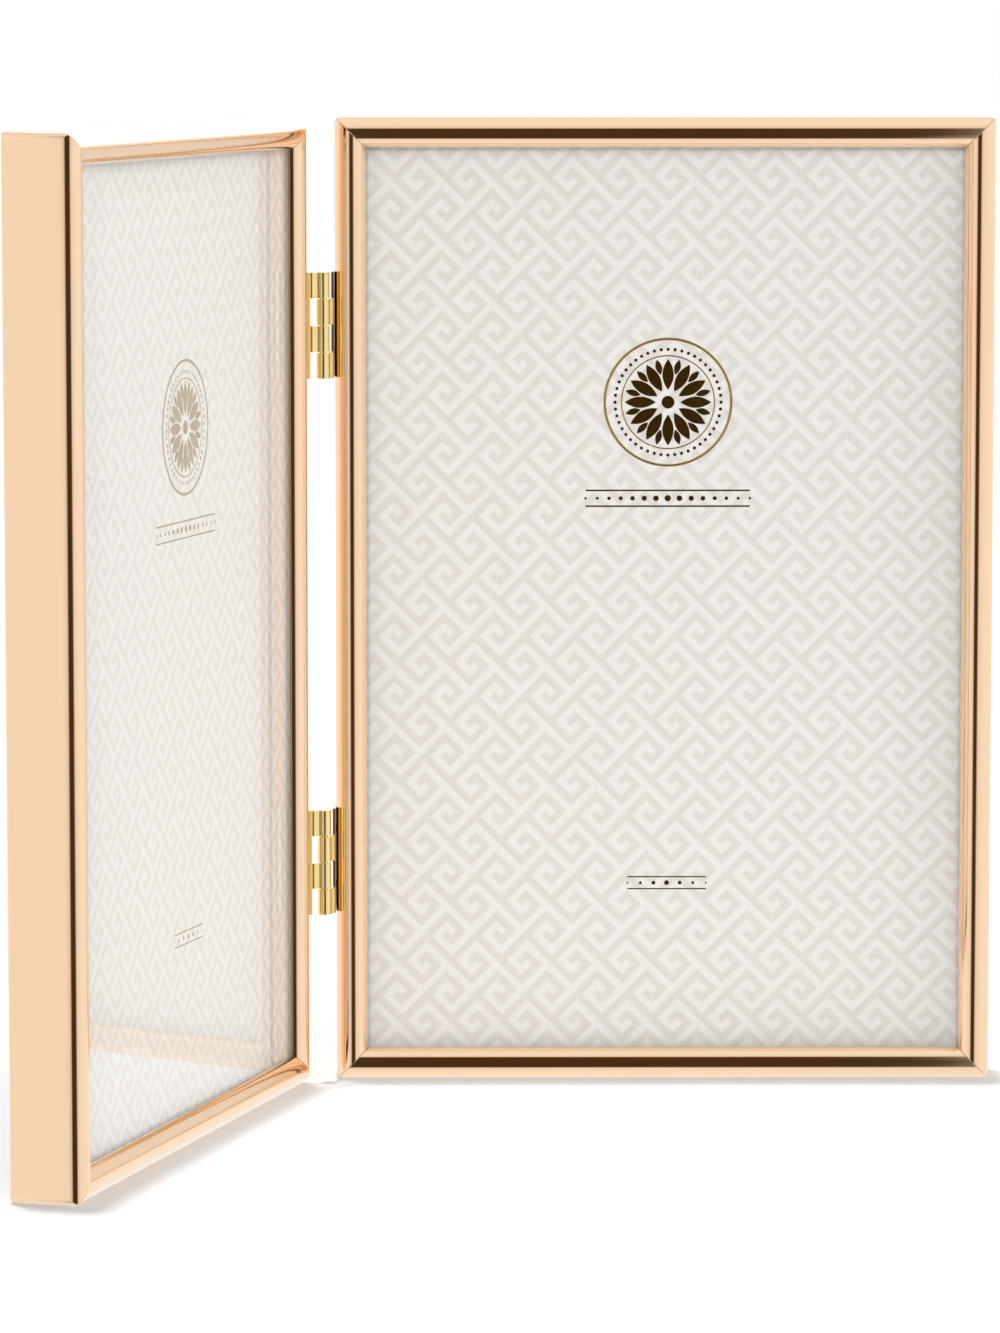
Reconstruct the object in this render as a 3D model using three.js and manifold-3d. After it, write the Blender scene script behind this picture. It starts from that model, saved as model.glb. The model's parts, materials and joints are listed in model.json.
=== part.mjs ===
// Hinged double photo frame: two metal panels, each for one upright picture, that open like a book.
// Millimetres, +Z up. The right panel faces -Y and the origin is the middle of its flat base.
// The left panel stands folded towards the viewer, turned about the hinge pins.

import * as THREE from "three";
import { mergeVertices } from "three/addons/utils/BufferGeometryUtils.js";
import Module from "manifold-3d";

const wasm = await Module();
wasm.setup();

// Picture
const PHOTO_WIDTH = 101.6;
const PHOTO_HEIGHT = 152.4;
const PHOTO_PLAY = 0.5; // photo to rabbet wall, each side

// Layers in the rabbet, from the front
const GLASS_THICKNESS = 2;
const INSERT_THICKNESS = 0.3;
const FILLER_THICKNESS = 2.5;
const BOARD_THICKNESS = 2.4;
const VELVET_THICKNESS = 0.3;
const LAYER_GAP = 0.1; // between two layers
const LAYER_PLAY = 0.3; // glass and boards to rabbet wall, each side

// Moulding: a half-round bead in front of a hollow channel
const WALL = 0.6;
const KEYWAY_WIDTH = 1.5; // inside the channel
const LIP_COVER = 2; // how far the bead covers the photo
const LIP_SHORT = 0.6; // lip's back to the middle of the bead's arc, which ends there
const REAR_FLANGE = 0.8;
const SLOT_PLAY = 0.2; // turn clip to its slot, in front and behind
const MITRE_GAP = 0.1;
const BEAD_STEPS = 12; // in half of the bead's arc

// Corner keys
const KEY_ARM = 16; // from the panel's outer corner
const KEY_PLAY = 0.15; // key to keyway, all round

// Turn clips on the back
const CLIP_THICKNESS = 0.6;
const CLIP_HALF_WIDTH = 2.2;
const CLIP_INSET = 4.5; // pivot to rabbet wall
const CLIP_ENGAGEMENT = 1.3; // how far the tip reaches into the slot
const CLIP_SPACING = 92; // between the two clips of one side
const CLIP_RIVET_RADIUS = 0.9;
const CLIP_RIVET_RIM = 1.1; // head past the shank
const CLIP_RIVET_HEAD = 0.7;
const CLIP_RIVET_TAIL_RIM = 0.7; // spread tail past the shank
const CLIP_RIVET_TAIL = 0.8; // depth of the tail's countersink in the board

// Hinges
const HINGE_FROM_BASE = 36.6; // lower hinge's middle to the panel's base
const HINGE_FROM_TOP = 33.9; // upper hinge's middle to the panel's top
const HINGE_LENGTH = 17.3;
const KNUCKLE_COUNT = 4;
const KNUCKLE_GAP = 0.15;
const PIN_RADIUS = 0.55;
const BARREL_AHEAD = 0.25; // knuckles to the front of the bead
const LEAF_THICKNESS = 0.5;
const LEAF_REACH = 7; // leaf on the flat of the side face
const LEAF_SEAT_GAP = 0.05;
const LEAF_NOTCH = 0.35; // crank to the leaf's edge between its knuckles
const CRANK_START = 0.5; // pin axis to the crank that sets the leaf off from its knuckles
const CRANK_LENGTH = 0.85;
const CRANK_RISE = 0.7;
const LEAF_RIVET_RADIUS = 0.8;
const LEAF_RIVET_RIM = 0.6; // head past the shank
const LEAF_RIVET_TAIL_RIM = 0.5; // upset tail past the shank
const LEAF_RIVET_TAIL = 0.5;
const LEAF_RIVET_FROM_END = 3.9; // rivet to the end of its leaf
const REST_FOLD_DEG = 73; // left panel away from flat open

// Fits
const RUNNING_GAP = 0.05; // pin in knuckle, rivet in turn clip
const RIVET_GAP = 0.1; // rivet in a fixed hole
const CUT_MARGIN = 1; // cutters run past the faces they cut
const MERGE_DISTANCE = 1e-4;
const ROUND_STEPS = 16;

// Sizes that follow
const RABBET_WALL = 2 * WALL + KEYWAY_WIDTH;
const BEAD_WIDTH = RABBET_WALL + PHOTO_PLAY + LIP_COVER;
const BEAD_RADIUS = BEAD_WIDTH / 2;
const PANEL_WIDTH = PHOTO_WIDTH + 2 * (PHOTO_PLAY + RABBET_WALL);
const PANEL_HEIGHT = PHOTO_HEIGHT + 2 * (PHOTO_PLAY + RABBET_WALL);
const LAYER_WIDTH = PANEL_WIDTH - 2 * (RABBET_WALL + LAYER_PLAY);
const LAYER_HEIGHT = PANEL_HEIGHT - 2 * (RABBET_WALL + LAYER_PLAY);

// Depths behind the front of the bead
const LIP_BACK = BEAD_RADIUS - LIP_SHORT;
const GLASS_FRONT = LIP_BACK + LAYER_GAP;
const INSERT_FRONT = GLASS_FRONT + GLASS_THICKNESS + LAYER_GAP;
const FILLER_FRONT = INSERT_FRONT + INSERT_THICKNESS + LAYER_GAP;
const BOARD_FRONT = FILLER_FRONT + FILLER_THICKNESS + LAYER_GAP;
const VELVET_FRONT = BOARD_FRONT + BOARD_THICKNESS + LAYER_GAP;
const CLIP_FRONT = VELVET_FRONT + VELVET_THICKNESS + LAYER_GAP;
const CLIP_BACK = CLIP_FRONT + CLIP_THICKNESS;
const SLOT_FRONT = CLIP_FRONT - SLOT_PLAY;
const SLOT_BACK = CLIP_BACK + SLOT_PLAY;
const RAIL_DEPTH = SLOT_BACK + REAR_FLANGE;
const BASE_MIDDLE = (BEAD_RADIUS + RAIL_DEPTH) / 2;

const PIN_HOLE_RADIUS = PIN_RADIUS + RUNNING_GAP;
const KNUCKLE_RADIUS = PIN_HOLE_RADIUS + LEAF_THICKNESS;
const LEAF_SEAT = KNUCKLE_RADIUS + CRANK_RISE; // pin axis to the leaf's seat on the side face
const LEAF_FACE = LEAF_SEAT - LEAF_THICKNESS;
const CRANK_END = CRANK_START + CRANK_LENGTH;
const LEAF_FRONT = CRANK_END + LEAF_NOTCH;
const PIN_OUT = LEAF_SEAT + LEAF_SEAT_GAP; // pin axis to the panel's side face
const PIN_AHEAD = KNUCKLE_RADIUS + BARREL_AHEAD; // pin axis to the front of the bead
const CLIP_RIVET_HEAD_RADIUS = CLIP_RIVET_RADIUS + CLIP_RIVET_RIM;
const CLIP_RIVET_TAIL_RADIUS = CLIP_RIVET_RADIUS + CLIP_RIVET_TAIL_RIM;
const LEAF_RIVET_HEAD_RADIUS = LEAF_RIVET_RADIUS + LEAF_RIVET_RIM;
const LEAF_RIVET_TAIL_RADIUS = LEAF_RIVET_RADIUS + LEAF_RIVET_TAIL_RIM;
const CLIP_HOLE_RADIUS = CLIP_RIVET_RADIUS + RUNNING_GAP;
const CLIP_BOARD_HOLE_RADIUS = CLIP_RIVET_RADIUS + RIVET_GAP;
const LEAF_HOLE_RADIUS = LEAF_RIVET_RADIUS + RIVET_GAP;
const LEAF_RIVET_DEPTH = BEAD_RADIUS + LEAF_REACH / 2;
const CLIP_REACH = CLIP_INSET + CLIP_ENGAGEMENT;
const CLIP_SIDE = PANEL_WIDTH / 2 - RABBET_WALL - CLIP_INSET;

// Finishes
const GOLD = { color: 0xf3cf9c, roughness: 0.16, metalness: 1 };
const HINGE_BRASS = { color: 0xe2bd66, roughness: 0.2, metalness: 1 };
const STEEL = { color: 0xb9bbbd, roughness: 0.4, metalness: 1 };
const GLASS = { color: 0xf4f8f7, roughness: 0.03, metalness: 0 };
const PAPER = { color: 0xeae6e1, roughness: 0.75, metalness: 0 };
const CARD = { color: 0xb8aa94, roughness: 0.9, metalness: 0 };
const HARDBOARD = { color: 0x7a5b41, roughness: 0.9, metalness: 0 };
const VELVET = { color: 0x17161a, roughness: 1, metalness: 0 };

function addMesh(group, name, geometry, finish) {
  const mesh = new THREE.Mesh(geometry, new THREE.MeshStandardMaterial(finish));
  mesh.name = name;
  group.add(mesh);
  return mesh;
}

// Solids for joins and cuts

function solidOf(geometry) {
  const bare = geometry.clone();
  bare.deleteAttribute("normal");
  bare.deleteAttribute("uv");
  const merged = mergeVertices(bare, MERGE_DISTANCE);
  const mesh = new wasm.Mesh({
    numProp: 3,
    vertProperties: merged.attributes.position.array,
    triVerts: new Uint32Array(merged.index.array),
  });
  return new wasm.Manifold(mesh);
}

function geometryOf(solid) {
  const mesh = solid.getMesh();
  const geometry = new THREE.BufferGeometry();
  geometry.setAttribute("position", new THREE.BufferAttribute(mesh.vertProperties, 3));
  geometry.setIndex(new THREE.BufferAttribute(mesh.triVerts, 1));
  return geometry;
}

function joined(geometries) {
  return geometries.map(solidOf).reduce((whole, piece) => whole.add(piece));
}

function cut(solid, cutters) {
  return cutters.map(solidOf).reduce((rest, cutter) => rest.subtract(cutter), solid);
}

// Basic forms

function boxBetween(low, high) {
  const size = high.map((value, axis) => value - low[axis]);
  const middle = high.map((value, axis) => (value + low[axis]) / 2);
  return new THREE.BoxGeometry(...size).translate(...middle);
}

// A round bar along Z
function uprightBar(radius, length, x, y, z) {
  const bar = new THREE.CylinderGeometry(radius, radius, length, ROUND_STEPS);
  return bar.rotateX(Math.PI / 2).translate(x, y, z);
}

// A solid turned about Y from [radius, place along Y] pairs that start and end on the axis
function turned(pairs) {
  const points = pairs.map(([radius, along]) => new THREE.Vector2(radius, along));
  return new THREE.LatheGeometry(points, ROUND_STEPS);
}

// An outline in the panel's plane, given in X and Z, made into a plate between two depths
function plateBetween(shape, front, back) {
  const plate = new THREE.ExtrudeGeometry(shape, {
    depth: back - front,
    bevelEnabled: false,
    curveSegments: ROUND_STEPS / 2,
  });
  return plate.rotateX(Math.PI / 2).translate(0, back, 0);
}

// Moulding

// The moulding's section: X runs inwards from the outer face, Y backwards from the front
function railSection() {
  const section = new THREE.Shape();
  section.moveTo(0, RAIL_DEPTH);
  section.lineTo(0, BEAD_RADIUS);
  const lipTurn = 2 * Math.PI - Math.asin(LIP_SHORT / BEAD_RADIUS);
  section.absarc(BEAD_RADIUS, BEAD_RADIUS, BEAD_RADIUS, Math.PI, lipTurn);
  section.lineTo(RABBET_WALL, LIP_BACK);
  section.lineTo(RABBET_WALL, SLOT_FRONT);
  section.lineTo(RABBET_WALL - WALL, SLOT_FRONT);
  section.lineTo(RABBET_WALL - WALL, LIP_BACK);
  section.lineTo(WALL, LIP_BACK);
  section.lineTo(WALL, SLOT_BACK);
  section.lineTo(RABBET_WALL, SLOT_BACK);
  section.lineTo(RABBET_WALL, RAIL_DEPTH);
  section.closePath();
  return section;
}

// A rail along Z with both ends mitred: each end recedes as far as the point lies inwards
function mitredRail(length) {
  const rail = new THREE.ExtrudeGeometry(railSection(), {
    depth: length,
    bevelEnabled: false,
    curveSegments: BEAD_STEPS,
  });
  const places = rail.attributes.position;
  for (let index = 0; index < places.count; index += 1) {
    const setback = places.getX(index) + MITRE_GAP / 2;
    const atStart = places.getZ(index) < length / 2;
    places.setZ(index, atStart ? setback : length - setback);
  }
  return rail;
}

const HINGE_HEIGHTS = { lower: HINGE_FROM_BASE, upper: PANEL_HEIGHT - HINGE_FROM_TOP };
const RIVET_OFFSET = HINGE_LENGTH / 2 - LEAF_RIVET_FROM_END;
const RIVET_OFFSETS = { lower: -RIVET_OFFSET, upper: RIVET_OFFSET };

// The hinge side has holes in its outer wall for the leaves' rivets: a rail on the +X side is upside down
function hingeRail(hingeSign) {
  const length = WALL + KEYWAY_WIDTH / 2 + CUT_MARGIN;
  const holes = [];
  for (const height of Object.values(HINGE_HEIGHTS)) {
    const along = hingeSign < 0 ? height : PANEL_HEIGHT - height;
    for (const offset of Object.values(RIVET_OFFSETS)) {
      const hole = new THREE.CylinderGeometry(LEAF_HOLE_RADIUS, LEAF_HOLE_RADIUS, length, ROUND_STEPS);
      hole.rotateZ(Math.PI / 2);
      hole.translate(length / 2 - CUT_MARGIN, LEAF_RIVET_DEPTH, along + offset);
      holes.push(hole);
    }
  }
  return geometryOf(cut(solidOf(mitredRail(PANEL_HEIGHT)), holes));
}

// hingeSign is the side of the panel, along X, that carries the hinges
function addRails(panel, side, hingeSign) {
  const half = PANEL_WIDTH / 2;
  const upright = (sign) => (sign < 0 ? [-half, 0, 0] : [half, PANEL_HEIGHT, Math.PI]);
  const rails = [
    ["top", mitredRail(PANEL_WIDTH), [-half, PANEL_HEIGHT, Math.PI / 2]],
    ["bottom", mitredRail(PANEL_WIDTH), [half, 0, -Math.PI / 2]],
    ["hinge_side", hingeRail(hingeSign), upright(hingeSign)],
    ["outer_side", mitredRail(PANEL_HEIGHT), upright(-hingeSign)],
  ];
  for (const [place, geometry, [x, z, turn]] of rails) {
    const rail = addMesh(panel, `${side}_rail_${place}`, geometry, GOLD);
    rail.position.set(x, 0, z);
    rail.rotation.y = turn;
  }
}

// Corner keys

// A flat L that lies in the keyways of two rails, drawn for the lower left corner
function cornerKey() {
  const outer = WALL + KEY_PLAY;
  const inner = WALL + KEYWAY_WIDTH - KEY_PLAY;
  const shape = new THREE.Shape();
  shape.moveTo(outer, outer);
  shape.lineTo(KEY_ARM, outer);
  shape.lineTo(KEY_ARM, inner);
  shape.lineTo(inner, inner);
  shape.lineTo(inner, KEY_ARM);
  shape.lineTo(outer, KEY_ARM);
  shape.closePath();
  return plateBetween(shape, LIP_BACK + KEY_PLAY, SLOT_FRONT - KEY_PLAY);
}

function addCornerKeys(panel, side) {
  const half = PANEL_WIDTH / 2;
  const corners = [
    ["lower_left", -half, 0, 0],
    ["lower_right", half, 0, -Math.PI / 2],
    ["upper_right", half, PANEL_HEIGHT, Math.PI],
    ["upper_left", -half, PANEL_HEIGHT, Math.PI / 2],
  ];
  for (const [corner, x, z, turn] of corners) {
    const key = addMesh(panel, `${side}_corner_key_${corner}`, cornerKey(), STEEL);
    key.position.set(x, 0, z);
    key.rotation.y = turn;
  }
}

// Layers

function sheet(width, height, front, thickness) {
  const low = (PANEL_HEIGHT - height) / 2;
  return boxBetween([-width / 2, front, low], [width / 2, front + thickness, low + height]);
}

const CLIP_PLACES = [
  ["lower_left", -1, -1],
  ["lower_right", 1, -1],
  ["upper_left", -1, 1],
  ["upper_right", 1, 1],
].map(([name, across, up]) => ({
  name,
  across,
  x: across * CLIP_SIDE,
  z: PANEL_HEIGHT / 2 + (up * CLIP_SPACING) / 2,
}));

// A board or cover with a hole for each clip rivet
function drilledSheet(front, thickness) {
  const low = (PANEL_HEIGHT - LAYER_HEIGHT) / 2;
  const shape = new THREE.Shape();
  shape.moveTo(-LAYER_WIDTH / 2, low);
  shape.lineTo(LAYER_WIDTH / 2, low);
  shape.lineTo(LAYER_WIDTH / 2, low + LAYER_HEIGHT);
  shape.lineTo(-LAYER_WIDTH / 2, low + LAYER_HEIGHT);
  shape.closePath();
  for (const { x, z } of CLIP_PLACES) {
    const hole = new THREE.Path();
    hole.absarc(x, z, CLIP_BOARD_HOLE_RADIUS, 0, 2 * Math.PI);
    shape.holes.push(hole);
  }
  return plateBetween(shape, front, front + thickness);
}

// The backboard's holes are countersunk in front, so that the rivets' tails lie flush
function backboard() {
  const countersinks = CLIP_PLACES.map(({ x, z }) => {
    const countersink = turned([
      [0, BOARD_FRONT - CUT_MARGIN],
      [CLIP_RIVET_TAIL_RADIUS + RIVET_GAP, BOARD_FRONT - CUT_MARGIN],
      [CLIP_RIVET_TAIL_RADIUS + RIVET_GAP, BOARD_FRONT],
      [CLIP_BOARD_HOLE_RADIUS, BOARD_FRONT + CLIP_RIVET_TAIL],
      [0, BOARD_FRONT + CLIP_RIVET_TAIL],
    ]);
    return countersink.translate(x, 0, z);
  });
  return geometryOf(cut(solidOf(drilledSheet(BOARD_FRONT, BOARD_THICKNESS)), countersinks));
}

function addLayers(panel, side) {
  const glass = sheet(LAYER_WIDTH, LAYER_HEIGHT, GLASS_FRONT, GLASS_THICKNESS);
  const insert = sheet(PHOTO_WIDTH, PHOTO_HEIGHT, INSERT_FRONT, INSERT_THICKNESS);
  const filler = sheet(LAYER_WIDTH, LAYER_HEIGHT, FILLER_FRONT, FILLER_THICKNESS);
  addMesh(panel, `${side}_glass_pane`, glass, GLASS);
  addMesh(panel, `${side}_photo_insert`, insert, PAPER);
  addMesh(panel, `${side}_filler_card`, filler, CARD);
  addMesh(panel, `${side}_backboard`, backboard(), HARDBOARD);
  addMesh(panel, `${side}_velvet_backing`, drilledSheet(VELVET_FRONT, VELVET_THICKNESS), VELVET);
}

// Turn clips

// A tongue with its tip rounded about the pivot, drawn pointing along +X
function clipOutline() {
  const spread = Math.asin(CLIP_HALF_WIDTH / CLIP_REACH);
  const shape = new THREE.Shape();
  shape.absarc(0, 0, CLIP_HALF_WIDTH, Math.PI / 2, (3 * Math.PI) / 2);
  shape.absarc(0, 0, CLIP_REACH, -spread, spread);
  shape.closePath();
  const hole = new THREE.Path();
  hole.absarc(0, 0, CLIP_HOLE_RADIUS, 0, 2 * Math.PI);
  shape.holes.push(hole);
  return shape;
}

function clipRivet() {
  const headFront = CLIP_BACK + RUNNING_GAP;
  return turned([
    [0, BOARD_FRONT],
    [CLIP_RIVET_TAIL_RADIUS, BOARD_FRONT],
    [CLIP_RIVET_RADIUS, BOARD_FRONT + CLIP_RIVET_TAIL],
    [CLIP_RIVET_RADIUS, headFront],
    [CLIP_RIVET_HEAD_RADIUS, headFront],
    [CLIP_RIVET_HEAD_RADIUS, headFront + CLIP_RIVET_HEAD / 2],
    [CLIP_RIVET_HEAD_RADIUS / 2, headFront + CLIP_RIVET_HEAD],
    [0, headFront + CLIP_RIVET_HEAD],
  ]);
}

function addTurnClips(panel, side) {
  for (const { name, across, x, z } of CLIP_PLACES) {
    const outline = plateBetween(clipOutline(), CLIP_FRONT, CLIP_BACK);
    const clip = addMesh(panel, `${side}_turn_clip_${name}`, outline, STEEL);
    clip.position.set(x, 0, z);
    clip.rotation.y = across > 0 ? 0 : Math.PI;
    const rivet = addMesh(panel, `${side}_clip_rivet_${name}`, clipRivet(), STEEL);
    rivet.position.set(x, 0, z);
  }
}

// Hinges

const KNUCKLE_PITCH = (HINGE_LENGTH + KNUCKLE_GAP) / KNUCKLE_COUNT;
const KNUCKLE_LENGTH = KNUCKLE_PITCH - KNUCKLE_GAP;

// The cranked strip between a knuckle and its leaf, seen along the pin
function crankSection() {
  const bend = Math.atan2(CRANK_RISE, CRANK_LENGTH);
  const mitre = LEAF_THICKNESS * Math.tan(bend / 2);
  const inLeaf = LEAF_FRONT + LEAF_THICKNESS;
  const section = new THREE.Shape();
  section.moveTo(PIN_HOLE_RADIUS, 0);
  section.lineTo(KNUCKLE_RADIUS, 0);
  section.lineTo(KNUCKLE_RADIUS, CRANK_START);
  section.lineTo(LEAF_SEAT, CRANK_END);
  section.lineTo(LEAF_SEAT, inLeaf);
  section.lineTo(LEAF_FACE, inLeaf);
  section.lineTo(LEAF_FACE, CRANK_END + mitre);
  section.lineTo(PIN_HOLE_RADIUS, CRANK_START + mitre);
  section.closePath();
  return section;
}

// Leaf in the frame of its pin: the pin is the Z axis, the panel's side face lies on the +X side
function hingeLeaf(firstKnuckle) {
  const back = PIN_AHEAD + BEAD_RADIUS + LEAF_REACH;
  const half = HINGE_LENGTH / 2;
  const pieces = [boxBetween([LEAF_FACE, LEAF_FRONT, -half], [LEAF_SEAT, back, half])];
  for (let index = firstKnuckle; index < KNUCKLE_COUNT; index += 2) {
    const low = half - index * KNUCKLE_PITCH - KNUCKLE_LENGTH;
    const crank = new THREE.ExtrudeGeometry(crankSection(), { depth: KNUCKLE_LENGTH, bevelEnabled: false });
    pieces.push(uprightBar(KNUCKLE_RADIUS, KNUCKLE_LENGTH, 0, 0, low + KNUCKLE_LENGTH / 2));
    pieces.push(crank.translate(0, 0, low));
  }
  const cutters = [uprightBar(PIN_HOLE_RADIUS, HINGE_LENGTH + CUT_MARGIN, 0, 0, 0)];
  for (const offset of Object.values(RIVET_OFFSETS)) {
    cutters.push(leafRivetHole().translate(0, PIN_AHEAD + LEAF_RIVET_DEPTH, offset));
  }
  return geometryOf(cut(joined(pieces), cutters));
}

// The countersunk hole through a leaf, along X
function leafRivetHole() {
  const hole = turned([
    [0, LEAF_FACE - CUT_MARGIN],
    [LEAF_RIVET_HEAD_RADIUS + RIVET_GAP, LEAF_FACE - CUT_MARGIN],
    [LEAF_RIVET_HEAD_RADIUS + RIVET_GAP, LEAF_FACE],
    [LEAF_HOLE_RADIUS, LEAF_SEAT],
    [LEAF_HOLE_RADIUS, LEAF_SEAT + CUT_MARGIN],
    [0, LEAF_SEAT + CUT_MARGIN],
  ]);
  return hole.rotateZ(-Math.PI / 2);
}

// A flush rivet from the leaf's face to its upset tail in the keyway, along X
function leafRivet() {
  const inside = PIN_OUT + WALL + RIVET_GAP;
  const rivet = turned([
    [0, LEAF_FACE],
    [LEAF_RIVET_HEAD_RADIUS, LEAF_FACE],
    [LEAF_RIVET_RADIUS, LEAF_SEAT],
    [LEAF_RIVET_RADIUS, inside],
    [LEAF_RIVET_TAIL_RADIUS, inside],
    [LEAF_RIVET_TAIL_RADIUS, inside + LEAF_RIVET_TAIL],
    [0, inside + LEAF_RIVET_TAIL],
  ]);
  return rivet.rotateZ(-Math.PI / 2);
}

// Leaves and rivets in a group that stands on the pin axis: hand is 1 for a panel on the +X side, else -1
function addLeaves(group, side, firstKnuckle, hand) {
  for (const [place, height] of Object.entries(HINGE_HEIGHTS)) {
    const leaf = addMesh(group, `${place}_hinge_${side}_leaf`, hingeLeaf(firstKnuckle), HINGE_BRASS);
    leaf.position.z = height;
    leaf.scale.x = hand;
    for (const [end, offset] of Object.entries(RIVET_OFFSETS)) {
      const rivet = addMesh(group, `${place}_hinge_${side}_rivet_${end}`, leafRivet(), HINGE_BRASS);
      rivet.position.set(0, PIN_AHEAD + LEAF_RIVET_DEPTH, height + offset);
      rivet.scale.x = hand;
    }
  }
}

function addPins(group) {
  for (const [place, height] of Object.entries(HINGE_HEIGHTS)) {
    const bar = uprightBar(PIN_RADIUS, HINGE_LENGTH, 0, 0, height);
    addMesh(group, `${place}_hinge_pin`, bar, HINGE_BRASS);
  }
}

// Panels

// A panel in its own frame: X across from its middle, Y back from the front of the bead, Z up from its base
function makePanel(side, hingeSign) {
  const panel = new THREE.Group();
  addRails(panel, side, hingeSign);
  addCornerKeys(panel, side);
  addLayers(panel, side);
  addTurnClips(panel, side);
  return panel;
}

const frame = new THREE.Group();
const pinX = -PANEL_WIDTH / 2 - PIN_OUT;
const pinY = -BASE_MIDDLE - PIN_AHEAD;

const rightPanel = makePanel("right", -1);
rightPanel.position.y = -BASE_MIDDLE;
frame.add(rightPanel);

const fixedHinge = new THREE.Group();
fixedHinge.position.set(pinX, pinY, 0);
addLeaves(fixedHinge, "right", 1, 1);
addPins(fixedHinge);
frame.add(fixedHinge);

const fold = new THREE.Group();
fold.position.set(pinX, pinY, 0);
fold.rotation.z = THREE.MathUtils.degToRad(REST_FOLD_DEG);
addLeaves(fold, "left", 0, -1);
const leftPanel = makePanel("left", 1);
leftPanel.position.set(-PIN_OUT - PANEL_WIDTH / 2, PIN_AHEAD, 0);
fold.add(leftPanel);
frame.add(fold);

export default frame;
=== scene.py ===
"""Looks of a hinged double photo frame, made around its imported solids.

Shapes are drawn in millimetres in a panel's or a hinge's own frame, and placed in metres, +Z up.
A panel's frame has X across from its middle, Y back from the front of its bead and Z up from its base.
A hinge's frame has its pin as the Z axis, X towards the leaf's panel and Y back.
"""

import json
import math

import bmesh
import bpy
from bpy.props import FloatProperty, FloatVectorProperty, IntProperty, PointerProperty
from mathutils import Matrix, Vector

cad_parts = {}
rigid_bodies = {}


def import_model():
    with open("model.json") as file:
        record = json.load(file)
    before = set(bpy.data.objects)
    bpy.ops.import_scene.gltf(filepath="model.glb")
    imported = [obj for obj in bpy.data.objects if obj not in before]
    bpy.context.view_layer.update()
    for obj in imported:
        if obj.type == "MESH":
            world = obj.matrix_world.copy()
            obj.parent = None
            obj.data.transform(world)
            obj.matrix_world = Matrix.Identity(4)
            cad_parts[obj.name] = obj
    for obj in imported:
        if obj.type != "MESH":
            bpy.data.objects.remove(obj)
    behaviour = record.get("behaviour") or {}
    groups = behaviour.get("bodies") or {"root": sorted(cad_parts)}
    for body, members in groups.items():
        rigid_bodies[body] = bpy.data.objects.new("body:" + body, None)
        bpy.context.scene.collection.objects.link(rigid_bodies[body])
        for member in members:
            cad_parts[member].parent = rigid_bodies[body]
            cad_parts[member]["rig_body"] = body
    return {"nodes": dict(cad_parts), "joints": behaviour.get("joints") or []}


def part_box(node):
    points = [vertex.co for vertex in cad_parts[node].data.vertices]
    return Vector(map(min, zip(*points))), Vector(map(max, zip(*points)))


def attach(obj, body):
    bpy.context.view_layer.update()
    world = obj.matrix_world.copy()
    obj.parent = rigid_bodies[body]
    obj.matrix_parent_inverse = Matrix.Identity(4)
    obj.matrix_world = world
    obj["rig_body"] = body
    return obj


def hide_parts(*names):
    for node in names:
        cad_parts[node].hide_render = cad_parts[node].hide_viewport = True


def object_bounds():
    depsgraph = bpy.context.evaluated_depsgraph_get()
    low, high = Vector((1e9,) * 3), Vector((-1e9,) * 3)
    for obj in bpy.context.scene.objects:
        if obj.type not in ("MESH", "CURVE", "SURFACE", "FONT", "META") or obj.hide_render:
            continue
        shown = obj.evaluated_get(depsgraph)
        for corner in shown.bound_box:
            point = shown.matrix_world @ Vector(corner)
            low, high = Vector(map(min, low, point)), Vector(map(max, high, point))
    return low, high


bl_info = {
    "name": "Hinged Double Photo Frame",
    "version": (1, 0, 0),
    "blender": (4, 5, 0),
    "location": "View3D > Sidebar > Photo Frame",
    "description": "Finishes, fittings and stage of a hinged double photo frame",
    "category": "Object",
}

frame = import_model()
CAD_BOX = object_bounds()

MM = 0.001
QUARTER = math.pi / 2
SIDES = ("right", "left")
HINGES = ("upper", "lower")
CORNERS = ("lower_left", "lower_right", "upper_left", "upper_right")


def box_mm(node):
    """A solid's lowest and highest corners."""
    low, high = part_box(node)
    return low / MM, high / MM


def joint_named(name):
    """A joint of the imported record."""
    return next(joint for joint in frame["joints"] if joint["name"] == name)


def shift(x, y, z):
    """A move along the axes."""
    return Matrix.Translation((x, y, z))


def rotation(angle, axis):
    """A turn about an axis."""
    return Matrix.Rotation(angle, 4, axis)


# Measures taken from the frame, in millimetres

RAIL_LOW, RAIL_HIGH = box_mm("right_rail_hinge_side")
PANEL_WIDTH = box_mm("right_rail_outer_side")[1].x - RAIL_LOW.x
PANEL_HEIGHT = box_mm("right_rail_top")[1].z - box_mm("right_rail_bottom")[0].z
PANEL_FRONT = RAIL_LOW.y
BEAD_WIDTH = RAIL_HIGH.x - RAIL_LOW.x
RAIL_DEPTH = RAIL_HIGH.y - RAIL_LOW.y
GLASS_FRONT = box_mm("right_glass_pane")[0].y - PANEL_FRONT
INSERT_FRONT = box_mm("right_photo_insert")[0].y - PANEL_FRONT
BOARD_FRONT = box_mm("right_backboard")[0].y - PANEL_FRONT
VELVET_LOW, VELVET_HIGH = box_mm("right_velvet_backing")

FOLD = joint_named("panel_fold")
PANEL_BODIES = {"right": FOLD["parent"], "left": FOLD["child"]}
PIN = Vector(FOLD["pos_m"]) / MM
REST_FOLD = math.radians(-FOLD["range_deg"][0])
PIN_OUT = RAIL_LOW.x - PIN.x
PIN_AHEAD = PANEL_FRONT - PIN.y

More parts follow.
